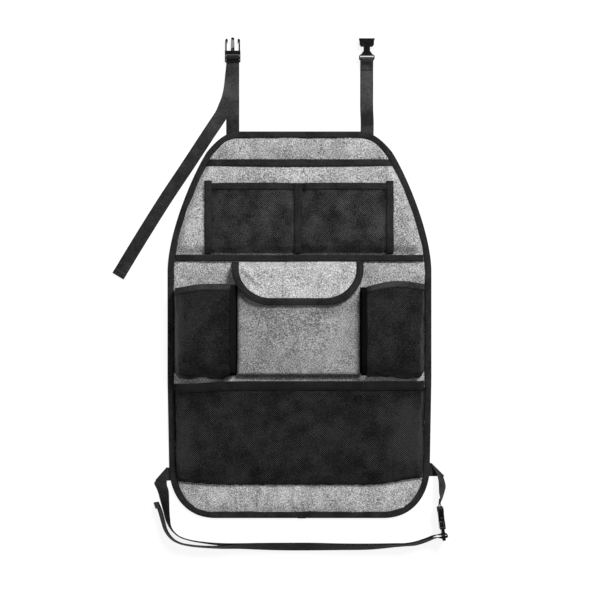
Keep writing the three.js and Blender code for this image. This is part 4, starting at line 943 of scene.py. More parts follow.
document = refine(document_control(), 4.0)
pins = edge_pins(document, 0, 4, 5)
under_net = (document[:, :, 1] < UPPER_MOUTH - 4) & (np.abs(document[:, :, 0] + 0.5) < 146)
document = settle(document, pins | under_net, 0.012, 2.5, 1.3, seed=5)
document_pocket = dress(cloth_sheet("document_cloth", document), MELANGE_DOCUMENT, "melange", "document_pocket")
first = int(np.argmax(document[0, :, 0] > -half_width(DOC_MOUTH, 9.6)))
last = document.shape[1] - 1 - first
folded_tape("document_mouth_tape", document, 11.0, first, last, TAPE_WEAVE, "document_pocket_tape")
stitched("document_stitches", [seam_line(document, 9.4, first, last)])

# %% [markdown]
# ## The upper net
# One piece of netting makes two bays. Tapes run down its sides, one tape divides the bays, and one is folded over
# the mouth. Behind it lies black cloth, which is why the pocket reads so dark.

# %% Upper net
def doc_face(y):
    return FIELD + FOOT_STACK if y <= DOC_FOOT else ON_DOC


def upper_control():
    ys = [UPPER_MOUTH - TAPE + (DOC_TOE - UPPER_MOUTH) * t for t in (0, 0.11, 0.24, 0.4, 0.6, 0.8)]
    ys += [DOC_TOE, DOC_FOOT, TAPE_LOW + 5.3]
    left, right, mid, side = UPPER["left"], UPPER["right"], UPPER["divider"], UPPER["side"]
    margin = TAPE + 2 * SNUG

    def bay(a, b):
        return [(a, 0, 1), (a + 1.5, 0.08, 1), (a + 9, 0.8, 1), (a + 22, 1, 1), ((a + b) / 2, 1.06, 1),
                (b - 22, 1, 1), (b - 9, 0.8, 1), (b - 1.5, 0.08, 1), (b, 0, 1)]

    columns = [(left, 0, 0), (left + side, 0, 0)] + bay(left + side + 2, mid - side / 2 - 1)
    columns += bay(mid + side / 2 + 1, right - side - 2) + [(right - side, 0, 0), (right, 0, 0)]
    rows = []
    for y in ys:
        full = 0 if y <= DOC_FOOT else 0.62 if y <= DOC_TOE else 1
        rows.append([(x, y, doc_face(y) + full * (UPPER["depth"] * rise + margin * tape))
                     for x, rise, tape in columns])
    return rows


upper = refine(upper_control(), 3.2)
near_tape = (np.abs(upper[:, :, 0] - UPPER["divider"]) < 8) | (upper[:, :, 0] < -130) | (upper[:, :, 0] > 129)
upper = settle(upper, edge_pins(upper, 0, 5, 4) | near_tape, 0.02, 1.0, 2.0, seed=9, sink=2.5)
upper_net_piece = netting("upper_netting", upper, 2.1, "upper_net", NET_THREAD)
xs = upper[0, :, 0]
first, last = int(np.argmax(xs > UPPER["left"] + 10)), int(np.argmax(xs > UPPER["right"] - 10))
folded_tape("upper_mouth_tape", upper, 10.0, first, last, TAPE_WEAVE, "upper_net_top_tape")

# %% Tapes down the upper net
def flat_tape(name, left, right, stations, cad):
    """A tape down a pocket between two x values, and the grid that it was made from."""
    control = [[(left, y, z), ((left + right) / 2, y, z + 0.05), (right, y, z)] for y, z in stations]
    grid = refine(control, 3.0)
    grid[:, :, 0] += 0.25 * np.sin(grid[:, :, 1] / 9.0)
    dress(cloth_sheet(name, grid, TAPE), TAPE_WEAVE, "tape", cad)
    return grid


seam_z = CLOTH + GAP
foot_z = doc_face(DOC_FOOT) + seam_z
side_stations = [(UPPER_MOUTH + UPPER["rise"], ON_DOC + seam_z), (DOC_TOE, ON_DOC + seam_z), (DOC_FOOT, foot_z)]
over = ON_DOC + TAPE + 2 * SNUG + CLOTH + SNUG + TAPE + GAP
lower_z = ON_DOC + TAPE + 2 * SNUG + seam_z
middle_stations = [(UPPER_MOUTH, over), (UPPER_MOUTH - 14, over), (UPPER_MOUTH - 24, lower_z), (DOC_TOE, lower_z),
                   (DOC_FOOT, foot_z)]
side, mid = UPPER["side"], UPPER["divider"]
STITCH_LIFT = [0, 0, TAPE + 0.12]
tapes = [("upper_left_seam_tape", UPPER["left"], UPPER["left"] + side, side_stations, "upper_net_left_tape"),
         ("upper_right_seam_tape", UPPER["right"] - side, UPPER["right"], side_stations, "upper_net_right_tape"),
         ("upper_divider_tape", mid - side / 2, mid + side / 2, middle_stations, "upper_net_divider")]
seams = []
for name, a, b, stations, cad in tapes:
    grid = flat_tape(name, a, b, stations, cad)
    seams += [grid[:, c] + STITCH_LIFT for c in (1, -2)]
stitched("upper_seam_stitches", seams)

# %% Middle tape
middle_half = float(half_width(TAPE_TOP, BIND + 0.3))
base = FIELD + CLOTH + GAP
top_z = FIELD + FOOT_STACK + CLOTH + GAP
control = [[(-middle_half, y, base), (UPPER["left"] - 12, y, top_z), (0, y, top_z),
            (UPPER["right"] + 12, y, top_z), (middle_half, y, base)]
           for y in (TAPE_TOP, (TAPE_TOP + TAPE_LOW) / 2, TAPE_LOW)]
middle = refine(control, 3.0)
middle[:, :, 1] += 0.35 * np.sin(middle[:, :, 0] / 31.0)
dress(cloth_sheet("middle_seam_tape", middle, TAPE), TAPE_WEAVE, "tape", "middle_tape")
stitched("middle_stitches", [middle[1] + STITCH_LIFT, middle[-2] + STITCH_LIFT])

# %% [markdown]
# ## The centre pocket and its flap
# The centre pocket has a flat front on upright sides, and a flap with round corners lies over its mouth. Both are
# settled with their seams pinned. The flap's own binding runs down one side, round the corners and up the other.

# %% Centre pocket
CENTRE = {"half": 93.2, "depth": 11.0, "crown": 1.1}


def centre_control():
    ys = [(CENTRE_MOUTH, 1), (CENTRE_MOUTH - 30, 1), ((CENTRE_MOUTH + POCKETS_LOW) / 2, 1.05),
          (POCKETS_LOW + 28, 1), (POCKETS_LOW + 4, 0.9), (POCKETS_LOW + 0.8, 0.55), (POCKETS_LOW, 0),
          (POCKETS_LOW - 3.2, 0)]
    crown = CENTRE["crown"]
    sides = [(1, 0), (1, 0.45), (0.992, 0.85), (0.96, 1), (0.6, crown - 0.04), (0.3, crown)]
    columns = [(-x, r) for x, r in sides] + [(0, crown)] + [(x, r) for x, r in reversed(sides)]
    half, depth = CENTRE["half"], CENTRE["depth"]
    return [[(MID_X + half * x, y, FIELD + depth * r * share) for x, r in columns] for y, share in ys]


centre = refine(centre_control(), 3.4)
pins = edge_pins(centre, 0, 3, 4)
pins |= (centre[:, :, 1] > FLAP_END + 10) & (np.abs(centre[:, :, 0]) < 40)
centre = settle(centre, pins, 0.008, 2.0, 1.4, seed=11)
centre_pocket = dress(cloth_sheet("centre_cloth", centre), MELANGE_POCKET_SHADED, "melange", "centre_pocket")
seam_x = CENTRE["half"] + 1.1
side_seams = [np.array([[MID_X + side * seam_x, y, FIELD + 0.2]
                        for y in np.linspace(CENTRE_MOUTH, POCKETS_LOW + 2, 40)]) for side in (-1, 1)]
side_seams.append(np.array([[MID_X + x, POCKETS_LOW - 0.6, FIELD + CLOTH + 0.2]
                            for x in np.linspace(-90, 90, 60)]))
stitched("centre_side_stitches", side_seams, 0.0024, 0.0024, 0.0008)

# %% Flap
FLAP = {"x": -2.7, "half": 100.5, "corner_x": 58.0, "corner_y": 56.0}
POCKET_FACE = FIELD + CENTRE["depth"] * CENTRE["crown"] + CLOTH
LOOP_Z = POCKET_FACE + GAP
HOOK_Z = LOOP_Z + 1 + GAP
FLAP_Z = HOOK_Z + 1 + SNUG


def flap_control():
    edge = TAPE + SNUG
    half, low = FLAP["half"] - edge, FLAP_END + edge
    head = FIELD + CLOTH + GAP
    wide, tall = FLAP["corner_x"], FLAP["corner_y"]
    rows = [(TAPE_LOW + 4.7, half, head), (TAPE_LOW - 0.5, half, head), (low + tall - 2, half - 0.2, FLAP_Z - 0.4)]
    for a in np.radians(np.arange(10, 91, 8)):
        rows.append((low + tall * (1 - math.sin(a)), half - wide * (1 - math.cos(a)), FLAP_Z))
    shares = (-1, -0.86, -0.6, -0.3, 0, 0.3, 0.6, 0.86, 1)
    return [[(FLAP["x"] + w * t, y, z) for t in shares] for y, w, z in rows]


def lifted_flap(grid):
    """The foot curls up off the pocket, most at its corners; creases run in from the left and the right."""
    x, y = grid[:, :, 0], grid[:, :, 1]
    foot = smoothstep(-y, -72, -30) * (1.2 + 2.6 * smoothstep(np.abs(x - FLAP["x"]), 30, 90))
    waves = 0.5 * np.sin(x / 9 + y / 14) * smoothstep(-y, -84, -66)
    return folded(raised(grid, foot + waves), [
        ((-90, 90), (-58, 60), 2.4, 4.2), ((-66, 84), (-44, 62), 1.0, 5), ((30, 80), (56, 58), 0.8, 5)])


flap = refine(flap_control(), 2.4)
half_row = (flap[:, -1:, 0] - flap[:, :1, 0]) / 2
rim = np.minimum(half_row - np.abs(flap[:, :, 0] - FLAP["x"]), flap[:, :, 1] - flap[-1, 0, 1])
pins = edge_pins(flap, 5, 0, 0) | (rim < 11)
pins |= (np.abs(flap[:, :, 0]) < 26) & (flap[:, :, 1] < 64) & (flap[:, :, 1] > 43)
flap = lifted_flap(settle(flap, pins, 0.01, 2.0, 1.2, seed=13))
flap_cloth = dress(cloth_sheet("flap_cloth", flap), MELANGE_FLAP_LIT, "melange", "flap")


# %% Flap binding
def edge_frames(grid, first_row):
    """Edge points, normals and inward directions down one side, along the foot and up the other side."""
    rows, cols = grid.shape[:2]
    cells = [(r, 0) for r in range(first_row, rows - 1)] + [(rows - 1, c) for c in range(cols)]
    cells += [(r, cols - 1) for r in range(rows - 2, first_row - 1, -1)]
    n = normals(grid)
    points = np.array([grid[r, c] for r, c in cells])
    normal = np.array([n[r, c] for r, c in cells])
    tangent = np.gradient(points, axis=0)
    tangent /= np.linalg.norm(tangent, axis=1, keepdims=True)
    for _ in range(3):
        tangent[1:-1] = (tangent[:-2] + 2 * tangent[1:-1] + tangent[2:]) / 4
    inward = np.cross(normal, tangent)
    inward /= np.linalg.norm(inward, axis=1, keepdims=True)
    return points, normal, inward


points, normal, inward = edge_frames(flap, int(np.argmax(flap[:, 0, 1] < TAPE_LOW - 0.3)))
ring = fold_profile(10.0, CLOTH / 2 + SNUG, CLOTH / 2 + SNUG + TAPE, 3)
rings, uv = [], []
for p, n, i, t in zip(points, normal, inward, travelled(points)):
    rings.append(np.array([p + n * (CLOTH / 2 + h) + i * (d - SNUG) for d, h in ring]))
    uv += [(d if h > 0 else -d, t) for d, h in ring]
dress(lofted("flap_edge_tape", rings, uv=uv), TAPE_WEAVE, "tape", "flap_binding")
stitched("flap_stitches", [points + inward * 8.4 + normal * (CLOTH + 1.1)])


# %% Hook-and-loop patches
def soft_patch(name, z, cad):
    xs, yy = np.linspace(-25, 25, 26), np.linspace(10, -10, 12)
    low = np.array([[(MID_X + x, FLAP_END + 24 + y, z) for x in xs] for y in yy])
    near = np.minimum(25 - np.abs(low[:, :, 0] - MID_X), 10 - np.abs(low[:, :, 1] - FLAP_END - 24))
    high = raised(low, 0.45 + 0.5 * smoothstep(near, 0, 1.6))
    dress(closed_sheet(name, low, high), PATCH_PILE, "hook_and_loop", cad)


soft_patch("loop_patch", LOOP_Z + 0.02, "pocket_loop_patch")
soft_patch("hook_patch", HOOK_Z + 0.02, "flap_hook_patch")

# %% [markdown]
# ## Bottle pockets
# Each bottle pocket is a net front with an elastic tape along its mouth and a black gusset on the side towards
# the middle, so it stands open by about the width of a bottle. The foot is gathered into small swags.

# %% Bottle pocket grids
BOTTLE = {"depth": 42.0, "lean": 9.0, "tape": 9.2, "foot": 95.1}
CLIMB = [(12.8, 0.1), (15.3, 0.55), (19.3, 0.9), (26.8, 1)]
ROUND_FOOT = [(0, 1), (0.11, 1), (0.3, 1.02), (0.52, 1.02), (0.7, 1), (0.82, 0.92), (0.91, 0.74),
              (0.97, 0.48), (1, 0)]


def arched(outer, crown, inner):
    return lambda f: BOTTLE_MOUTH + outer * (1 - f) ** 3 + crown * math.sin(math.pi * f) + inner * f ** 3


def gathered(swags, span, drop, corner):
    def foot(f):
        rise = corner * max(0, 1 - f / 0.12)
        return POCKETS_LOW - 1 - drop * math.sin(math.pi * swags * min(f / span, 1)) ** 2 + rise
    return foot


def bottle_control(sign, mouth, foot):
    inner_x = MID_X + sign * (BOTTLE["foot"] + BOTTLE["lean"])
    middle = [(0.35, 1.06), (0.5, 1.07), (0.65, 1.06), (0.8, 1.03), (0.93, 1), (1, 0.9)]
    outer = [(0, None, 2.0), (0, None, 10.8)]
    outer += [(0.02 + 0.05 * k, rise, inset) for k, (inset, rise) in enumerate(CLIMB)]
    rows = []
    for down, share in ROUND_FOOT:
        row = []
        for f, rise, inset in outer:
            y = mouth(f) + (foot(f) - mouth(f)) * down
            z = MARGIN if rise is None else NET_Z + BOTTLE["depth"] * rise * share
            row.append((sign * half_width(y, inset), y, z))
        for f, rise in middle:
            y = mouth(f) + (foot(f) - mouth(f)) * down
            x = sign * half_width(y, BIND) * (1 - f) + inner_x * f
            row.append((x, y, NET_Z + BOTTLE["depth"] * rise * share))
        rows.append(row if sign < 0 else row[::-1])
    return rows


def gusset_control(sign, net):
    rim = -1 if sign < 0 else 0
    rows = []
    for row in net[:-1]:
        top = np.array(row[rim]) - [0, 0, 0.5]
        base = np.array([MID_X + sign * BOTTLE["foot"], top[1], FIELD])
        wall = [tuple(top + (base - top) * t) for t in (0, 0.3, 0.65, 1)]
        rows.append(wall if sign < 0 else wall[::-1])
    return rows


# %% Bottle pockets
bottle_nets = {}
for name, sign, mouth, foot, seed in (("left", -1, arched(-8, 0.5, 0), gathered(2, 1, 4.6, 6), 17),
                                      ("right", 1, arched(-1, 5, -4), gathered(1, 0.66, 3, 8), 19)):
    control = bottle_control(sign, mouth, foot)
    net = refine(control, 3.2)
    pins = edge_pins(net, 0, 2, 0)
    pins |= half_width(net[:, :, 1], 0) - np.abs(net[:, :, 0]) < 14
    pins[:, -1 if sign < 0 else 0] = True
    net = settle(net, pins, 0.02, 1.0, 1.6, seed=seed, sink=2.0)
    bottle_nets[name] = net
    piece = netting(f"{name}_bottle_netting", net, 2.15, f"{name}_bottle_net")
    gusset = refine(gusset_control(sign, control), 3.0)
    bulge = np.sin(np.linspace(0, math.pi, gusset.shape[1]))[None, :]
    tall = (gusset[:, :1, 2] if sign < 0 else gusset[:, -1:, 2]) > 20
    gusset[:, :, 0] -= sign * 1.2 * bulge * tall
    side_piece = dress(cloth_sheet(f"{name}_gusset_cloth", gusset), GUSSET_CLOTH, "tape", f"{name}_bottle_gusset")
    first, last = true_range(half_width(net[0, :, 1], 0) - np.abs(net[0, :, 0]) > 12)
    folded_tape(f"{name}_elastic", net, BOTTLE["tape"], first, last, ELASTIC, f"{name}_bottle_tape")
    rolled_hem(f"{name}_bottle_hem", net[-1][2:] if sign < 0 else net[-1][:-2])
    stitched(f"{name}_elastic_stitches", [seam_line(net, 7.6, first + 2, last - 2)])

# %% [markdown]
# ## The lower net
# The widest pocket is a net across the whole foot of the panel. Its mouth tape is caught in the binding at both
# ends, and its slack gathers in soft upright folds near the sides.

# %% Lower net
LOWER_DEPTH = 15.0
LOWER_ROWS = [(0, 1), (0.105, 1), (0.25, 1.08), (0.45, 1.12), (0.65, 1.1), (0.82, 0.98), (0.92, 0.74),
              (0.98, 0.4), (1, 0)]


def lower_control():
    rows = []
    for down, share in LOWER_ROWS:
        def cell(x_of, z):
            x = float(x_of(LOWER_MOUTH + (LOWER_END - LOWER_MOUTH) * down))
            droop = 4.5 * float(smoothstep(-x, 90, 190))
            lift = 11 * float(smoothstep(x, 105, 190)) + 5 * float(smoothstep(-x, 120, 190))
            top = LOWER_MOUTH - TAPE - droop
            y = top + (LOWER_END + lift - top) * down
            return (float(x_of(y)), y, z)
        sides = [(2.0, MARGIN), (10.8, MARGIN)] + [(i, NET_Z + LOWER_DEPTH * r * share) for i, r in CLIMB]
        left = [cell(lambda y, i=i: -half_width(y, i), z) for i, z in sides]
        right = [cell(lambda y, i=i: half_width(y, i), z) for i, z in sides][::-1]
        heights = [NET_Z + LOWER_DEPTH * share * swell for swell in (1.02, 1.12)]
        folds = [cell(lambda y, t=t: t * half_width(y, BIND), heights[k % 2])
                 for k, t in enumerate((-0.8, -0.62, -0.42, -0.2, 0, 0.2, 0.42, 0.62, 0.8))]
        rows.append(left + folds + right)
    return rows


lower = refine(lower_control(), 3.8)
pins = edge_pins(lower, 0, 3, 5)
lower = settle(lower, pins, 0.022, 1.0, 2.6, seed=23, sink=4.0)
lower = folded(lower, [
    ((150, -225), (184, -118), 2.6, 7), ((118, -228), (140, -130), 1.4, 8), ((-184, -115), (-162, -225), 2.2, 6)])
piece = netting("lower_netting", lower, 2.25, "lower_net")
first, last = true_range(half_width(lower[0, :, 1], 0) - np.abs(lower[0, :, 0]) > 11.5)
folded_tape("lower_mouth_tape", lower, 13.6, first, last, TAPE_BLACK, "lower_net_tape")
inside = half_width(lower[-1, :, 1], 0) - np.abs(lower[-1, :, 0]) > 9.5
rolled_hem("lower_hem", lower[-1][inside])
stitched("lower_foot_stitches", [lower[-1][inside] - [0, 3.3, 0.3]], 0.0023, 0.0023, 0.0007)
stitched("lower_stitches", [seam_line(lower, 11.8, first + 1, last - 1)])

# %% Black cloths behind the nets
RIM = (10.2, 12.0, 13.6, 15.4)


def rim_points(side, y):
    """Points of a backing where it follows the thinning rim of the panel, from the outside in."""
    return [(side * half_width(y, i), y, float(panel_z(half_width(y, i), y)) + 0.12) for i in RIM]


def backing(name, rows, cad):
    obj = dress(cloth_sheet(name, refine(rows, 6.0), BACKING), BLACK_CLOTH, "black_cloth", cad)


on_cloth, slope = DOC_Z + CLOTH, DOC_SLACK / (DOC_TOE - DOC_FOOT)
stations = [(UPPER_MOUTH - 5, on_cloth), ((UPPER_MOUTH + DOC_TOE) / 2, on_cloth), (DOC_TOE + 1, on_cloth),
            (DOC_TOE, on_cloth + 0.23), (DOC_FOOT + 1, FIELD + CLOTH + 0.23 + slope)]
across = np.linspace(UPPER["left"] + 2, UPPER["right"] - 2, 5)
rows = [[(x, y, z) for x in across] for y, z in stations]
backing("upper_backing", rows, "upper_net_backing")


def stretched(rows, head, foot):
    """Rows of a backing moved so that they run from a head line to a foot line, given as y over x."""
    top, low = rows[0][0][1], rows[-1][0][1]
    out = []
    for line in rows:
        share = (line[0][1] - top) / (low - top)
        ys = [float(np.interp(x, *head) * (1 - share) + np.interp(x, *foot) * share) for x, _, _ in line]
        out.append([(x, y, z) for (x, _, z), y in zip(line, ys)])
    return out


for name, sign in (("left", -1), ("right", 1)):
    rows = []
    for y in np.linspace(BOTTLE_MOUTH - BOTTLE["tape"], POCKETS_LOW, 8):
        rim, inner = rim_points(sign, y), MID_X + sign * (BOTTLE["foot"] + GAP)
        line = rim + [(rim[-1][0] * (1 - t) + inner * t, y, FIELD) for t in (0.15, 0.3, 0.45, 0.6, 0.75, 0.9, 1)]
        rows.append(line if sign < 0 else line[::-1])
    net = bottle_nets[name]
    head, foot = (net[0, :, 0], net[0, :, 1] - 4.5), (net[-1, :, 0], net[-1, :, 1] + 0.6)
    backing(f"{name}_backing", stretched(rows, head, foot), f"{name}_bottle_backing")
rows = []
for y in np.linspace(LOWER_MOUTH - 6.8, LOWER_END + 8, 12):
    rim = rim_points(1, y)
    middle = [(rim[-1][0] * t, y, FIELD) for t in np.linspace(-0.93, 0.93, 15)]
    rows.append(rim_points(-1, y) + middle + rim[::-1])
head, foot = (lower[0, :, 0], lower[0, :, 1] - 8), (lower[-1, :, 0], lower[-1, :, 1] + 0.8)
backing("lower_backing", stretched(rows, head, foot), "lower_net_backing")

# %% [markdown]
# ## Webbing straps
# A strap is a flat ribbon, described by rows of two edge points. Each row has a middle, a bearing and a lean, and
# a smooth curve through the rows gives the ribbon. It lies flat, stands on its edge or winds round a buckle's bar.

# %% Ribbon helpers
WIDTH, THICK = 20.0, 1.2
LAYER, FLAT = THICK + GAP, THICK / 2
TUCK = 0.25  # a sewn-in end lies this much deeper, inside the lining


def row(x, y, z, turn=0.0, lean=0.0):
    t, l = math.radians(turn), math.radians(lean)
    w = np.array([math.cos(t) * math.cos(l), math.sin(t) * math.cos(l), math.sin(l)]) * WIDTH / 2
    m = np.array([x, y, z], float)
    return np.array([m - w, m + w])


def resting(x, y, turn, lean, layers=0.0):
    """A row whose lower edge rests on the floor, or lies some layers away from one that does."""
    t, l = math.radians(turn), math.radians(lean)
    away = LAYER * layers
    back = away * math.sin(l)
    height = WIDTH / 2 * math.sin(l) + (FLAT + away) * math.cos(l)
    return row(x - back * math.cos(t), y - back * math.sin(t), height, turn, lean)


def catmull(rows, steps=8):
    """Centripetal curve through rows of edge points."""
    p = np.array(rows)
    p = np.concatenate([[2 * p[0] - p[1]], p, [2 * p[-1] - p[-2]]])
    out = []
    for i in range(1, len(p) - 2):
        q = p[i - 1:i + 3]
        t = [0.0]
        for a, b in zip(q, q[1:]):
            t.append(t[-1] + max(np.linalg.norm((b - a).mean(0)), 1e-3) ** 0.5)
        for s in np.linspace(t[1], t[2], steps, endpoint=False):
            a1 = (t[1] - s) / (t[1] - t[0]) * q[0] + (s - t[0]) / (t[1] - t[0]) * q[1]
            a2 = (t[2] - s) / (t[2] - t[1]) * q[1] + (s - t[1]) / (t[2] - t[1]) * q[2]
            a3 = (t[3] - s) / (t[3] - t[2]) * q[2] + (s - t[2]) / (t[3] - t[2]) * q[3]
            b1 = (t[2] - s) / (t[2] - t[0]) * a1 + (s - t[0]) / (t[2] - t[0]) * a2
            b2 = (t[3] - s) / (t[3] - t[1]) * a2 + (s - t[1]) / (t[3] - t[1]) * a3
            out.append((t[2] - s) / (t[2] - t[1]) * b1 + (s - t[1]) / (t[2] - t[1]) * b2)
    return out + [p[-2]]


SECTION = [(-1, -0.35), (-0.975, -0.85), (-0.9, -1), (-0.5, -1), (0, -1), (0.5, -1), (0.9, -1), (0.975, -0.85),
           (1, -0.35), (1, 0.35), (0.975, 0.85), (0.9, 1), (0.5, 1), (0, 1), (-0.5, 1), (-0.9, 1),
           (-0.975, 0.85), (-1, 0.35)]


def ribbon(name, rows, cad):
    """A strap through rows of edge points, with rounded selvedges."""
    rows = np.array(rows)
    middle = rows.mean(1)
    tangent = np.gradient(middle, axis=0)
    width = rows[:, 1] - rows[:, 0]
    normal = np.cross(tangent, width)
    normal /= np.linalg.norm(normal, axis=1, keepdims=True)
    rings, uv = [], []
    for m, w, n, t in zip(middle, width, normal, travelled(middle)):
        rings.append(np.array([m + w / 2 * a + n * FLAT * b for a, b in SECTION]))
        uv += [(a * WIDTH / 2, t) for a, _ in SECTION]
    return dress(lofted(name, rings, uv=uv), WEBBING, "webbing", cad)


def round_bar(centre, ahead, up, across, radius, start, stop, slack=0.0):
    """Rows of a strap wound round a bar, every 15 degrees."""
    count = int(round(abs(stop - start) / 15))
    out = []
    for a in np.radians(np.linspace(start, stop, count + 1)):
        reach = radius * math.cos(a) + slack * max(0, math.cos(a))
        m = np.array(centre) + np.array(ahead) * reach + np.array(up) * radius * math.sin(a)
        out.append(np.array([m - np.array(across) * WIDTH / 2, m + np.array(across) * WIDTH / 2]))
    return out


def hemmed(x, y, turn, lean, heading, hem=9.0):
    """Rows of a strap's end that is turned back on itself."""
    h = math.radians(heading)

    def at(ahead, layer):
        return resting(x + math.cos(h) * ahead, y + math.sin(h) * ahead, turn, lean, layer)
    fold = [at(math.sin(a) * LAYER / 2, (1 - math.cos(a)) / 2) for a in np.radians(np.arange(20, 181, 20))]
    return fold + [at(-hem / 2, 1), at(-hem, 1)]


def corner_fold(first, second, outward, start, stop):
    """Rows of a strap folded over itself along a line in plan, from one layer to another."""
    out = []
    for f in np.radians(np.arange(0, 181, 15)):
        o = math.sin(f) * LAYER / 2
        z = FLAT + LAYER * (start + (stop - start) * (1 - math.cos(f)) / 2)
        out.append(np.array([[x + outward[0] * o, y + outward[1] * o, z] for x, y in (first, second)]))
    return out


# %% Straps at the top
PLUG = {"plate": 6.1, "front_slot": 3.6, "mid_bar": 3.0, "thickness": 5.0, "half": 11.9}
MID_BAR_Y = -PLUG["plate"] - PLUG["front_slot"] - PLUG["mid_bar"] / 2
MID_BAR_Z = LAYER + PLUG["mid_bar"] / 2
PLUG_LENGTH = 17.6
MID_WRAP, SOCKET_WRAP, BEND = PLUG["mid_bar"] / 2 + GAP + FLAT, 1.2 + GAP + FLAT, FLAT + GAP
X, Y, Z = (1, 0, 0), (0, 1, 0), (0, 0, 1)
TOP = PANEL["top"]
left_x, right_x = -102.1, 102.8
plug_y, socket_y = TOP + 123.2, TOP + 141.6
UPPER_TAIL = [(-0.1, 100.2, -5, 1), (-1.5, 86.4, -7, 1), (-4.2, 63.5, -10, 1), (-7.9, 48.2, -19, 1),
              (-12.2, 37.5, -23, 1), (-16.8, 26.8, -30, 0.9), (-22.6, 17.6, -34, 0.6), (-37, -3.8, -33, 0),
              (-67, -49.7, -33, 0), (-103.7, -104.8, -33, 0), (-149.6, -178.3, -32, 0), (-174.8, -220.3, -31, 0)]
bar_y = plug_y + MID_BAR_Y
bend_y = bar_y - MID_WRAP - BEND
tail = [row(left_x + x, TOP + y, FLAT + LAYER * k, turn) for x, y, turn, k in UPPER_TAIL]
end = UPPER_TAIL[-1]
left_rows = [row(left_x, TOP - 27, FLAT + TUCK), row(left_x, TOP + 40, FLAT),
             row(left_x, bar_y - 2 * MID_WRAP, FLAT)]
left_rows += round_bar((left_x, bar_y, MID_BAR_Z), Y, Z, X, MID_WRAP, -90, 180, 1.8)
left_rows += round_bar((left_x, bend_y, MID_BAR_Z), Y, Z, X, BEND, -30, -90)
left_rows += catmull([row(left_x, plug_y - PLUG_LENGTH, FLAT + LAYER)] + tail)
left_rows += hemmed(left_x + end[0], TOP + end[1], end[2], 0, 239)
ribbon("top_left_webbing", left_rows, "left_top_strap")

SOCKET_BAR = 31.8
socket_bar = socket_y - SOCKET_BAR


def before(y, z):
    return row(right_x, socket_bar - y, z)


right_rows = catmull([row(right_x, TOP - 27, FLAT + TUCK), row(right_x + 0.8, TOP + 12, FLAT, 1),
                      before(74, FLAT), before(50, FLAT), before(26, FLAT)])
right_rows += catmull([before(16, FLAT), before(10, FLAT + 0.3), before(5, FLAT + 1)])
right_rows += round_bar((right_x, socket_bar, 4.5), Y, Z, X, SOCKET_WRAP, -90, 90, 1.0)
right_rows += catmull([before(3, 5.9), before(7, FLAT + LAYER + 1.2), before(11, FLAT + LAYER + 0.4),
                       before(15.5, FLAT + LAYER)])
ribbon("top_right_webbing", right_rows, "right_top_strap")

# %% Straps at the foot
LEFT_RUN = [(-13.1, 52.7, 0, 12), (-9.2, 42.8, 3, 28), (-6.4, 27.5, 3, 44), (-4, 12.2, 6, 58), (-1.6, -1.6, 14, 66),
            (1.5, -11.5, 28, 75), (7, -19.9, 44, 79), (16.5, -27.6, 63, 80), (31.8, -32.9, 76, 80),
            (54.7, -36.8, 84, 78), (80.7, -39.5, 87, 73)]
LEFT_DOUBLE = [(108.3, -41.2, 89, 64), (141.9, -41.7, 90, 58), (177.1, -42.1, 90, 54)]
RIGHT_DOUBLE = [(-180.2, -42.1, 90, 54), (-137.3, -42.3, 90, 59), (-91.4, -42, 90, 62), (-53.2, -39.8, 93, 72),
                (-37.9, -39, 96, 75), (-22.6, -37.1, 103, 71)]
INTO_PLUG = [(-7.6, -32.2, 111, 71, 10.1), (6.6, -25.6, 109, 79, 11.2)]
OUT_OF_PLUG = [(7.6, -29.1, 106, 79, 11.2), (-7, -34, 109, 71, 10.1)]
LOWER_TAIL = [(80.7, -43.6, 88, 71), (54.7, -43, 86, 75), (31.8, -40.8, 78, 76), (16.5, -37.3, 64, 76),
              (5, -30.7, 48, 73), (-4.2, -18.4, 32, 70), (-9.1, -3.1, 22, 68), (-13.4, 12.2, 18, 67),
              (-18.4, 24.5, 19, 67)]
SHORT_OUTER = [(20.9, 61.9, 1.8), (22.1, 58.1, 1.2), (23.3, 53.5, 0.9), (24.1, 47.4, 0.9), (22.2, 39.7, 1.1),
               (19.6, 31.5, 1.6), (16.2, 23, 1.9)]
SHORT_INNER = [(5.7, 76.4, 5), (10.3, 68, 11), (12.6, 58.1, 16.5), (13.1, 47.4, 17.7), (13.5, 39.7, 19),
               (14.9, 31.5, 21), (14.1, 23, 21.8)]
EDGE, LOW = PANEL["low_half"], PANEL["bottom"]
turn = math.radians(6.7)
pair_up = np.array([-math.sin(turn), math.cos(turn), 0])
pair_out = np.array([math.cos(turn), math.sin(turn), 0])
pair_at = np.array([EDGE + 18.7, LOW - 14.7, PLUG["half"]])


def on_floor(route, side, layers):
    return [resting(side * EDGE + x, LOW + y, t, l, layers) for x, y, t, l in route]


def lifted(route):
    return [row(EDGE + x, LOW + y, z, t, l) for x, y, t, l, z in route]


def double(layers):
    return on_floor(LEFT_DOUBLE, -1, layers) + on_floor(RIGHT_DOUBLE, 1, layers)


fold_x, run_y, fold_run = -EDGE - 2.6, -228.7, 17.6
fold_span = math.hypot(fold_run, WIDTH)
fold_outward = (-WIDTH / fold_span, fold_run / fold_span)
long_fold = corner_fold((fold_x - fold_run, run_y - 10), (fold_x, run_y + 10), fold_outward, 1, 0)
bar_out = MID_BAR_Z - PLUG["thickness"] / 2
loop_out, loop_lead = 3.2, 6.0
loop_at = pair_at + pair_up * MID_BAR_Y + pair_out * (bar_out + loop_out)
loop = round_bar(loop_at, pair_out, pair_up, Z, MID_WRAP, 90, -90)


def in_slot(side):
    at = pair_at + pair_up * (MID_BAR_Y + side * MID_WRAP) + pair_out * (bar_out - loop_lead + MID_WRAP)
    return np.array([at - np.array(Z) * WIDTH / 2, at + np.array(Z) * WIDTH / 2])


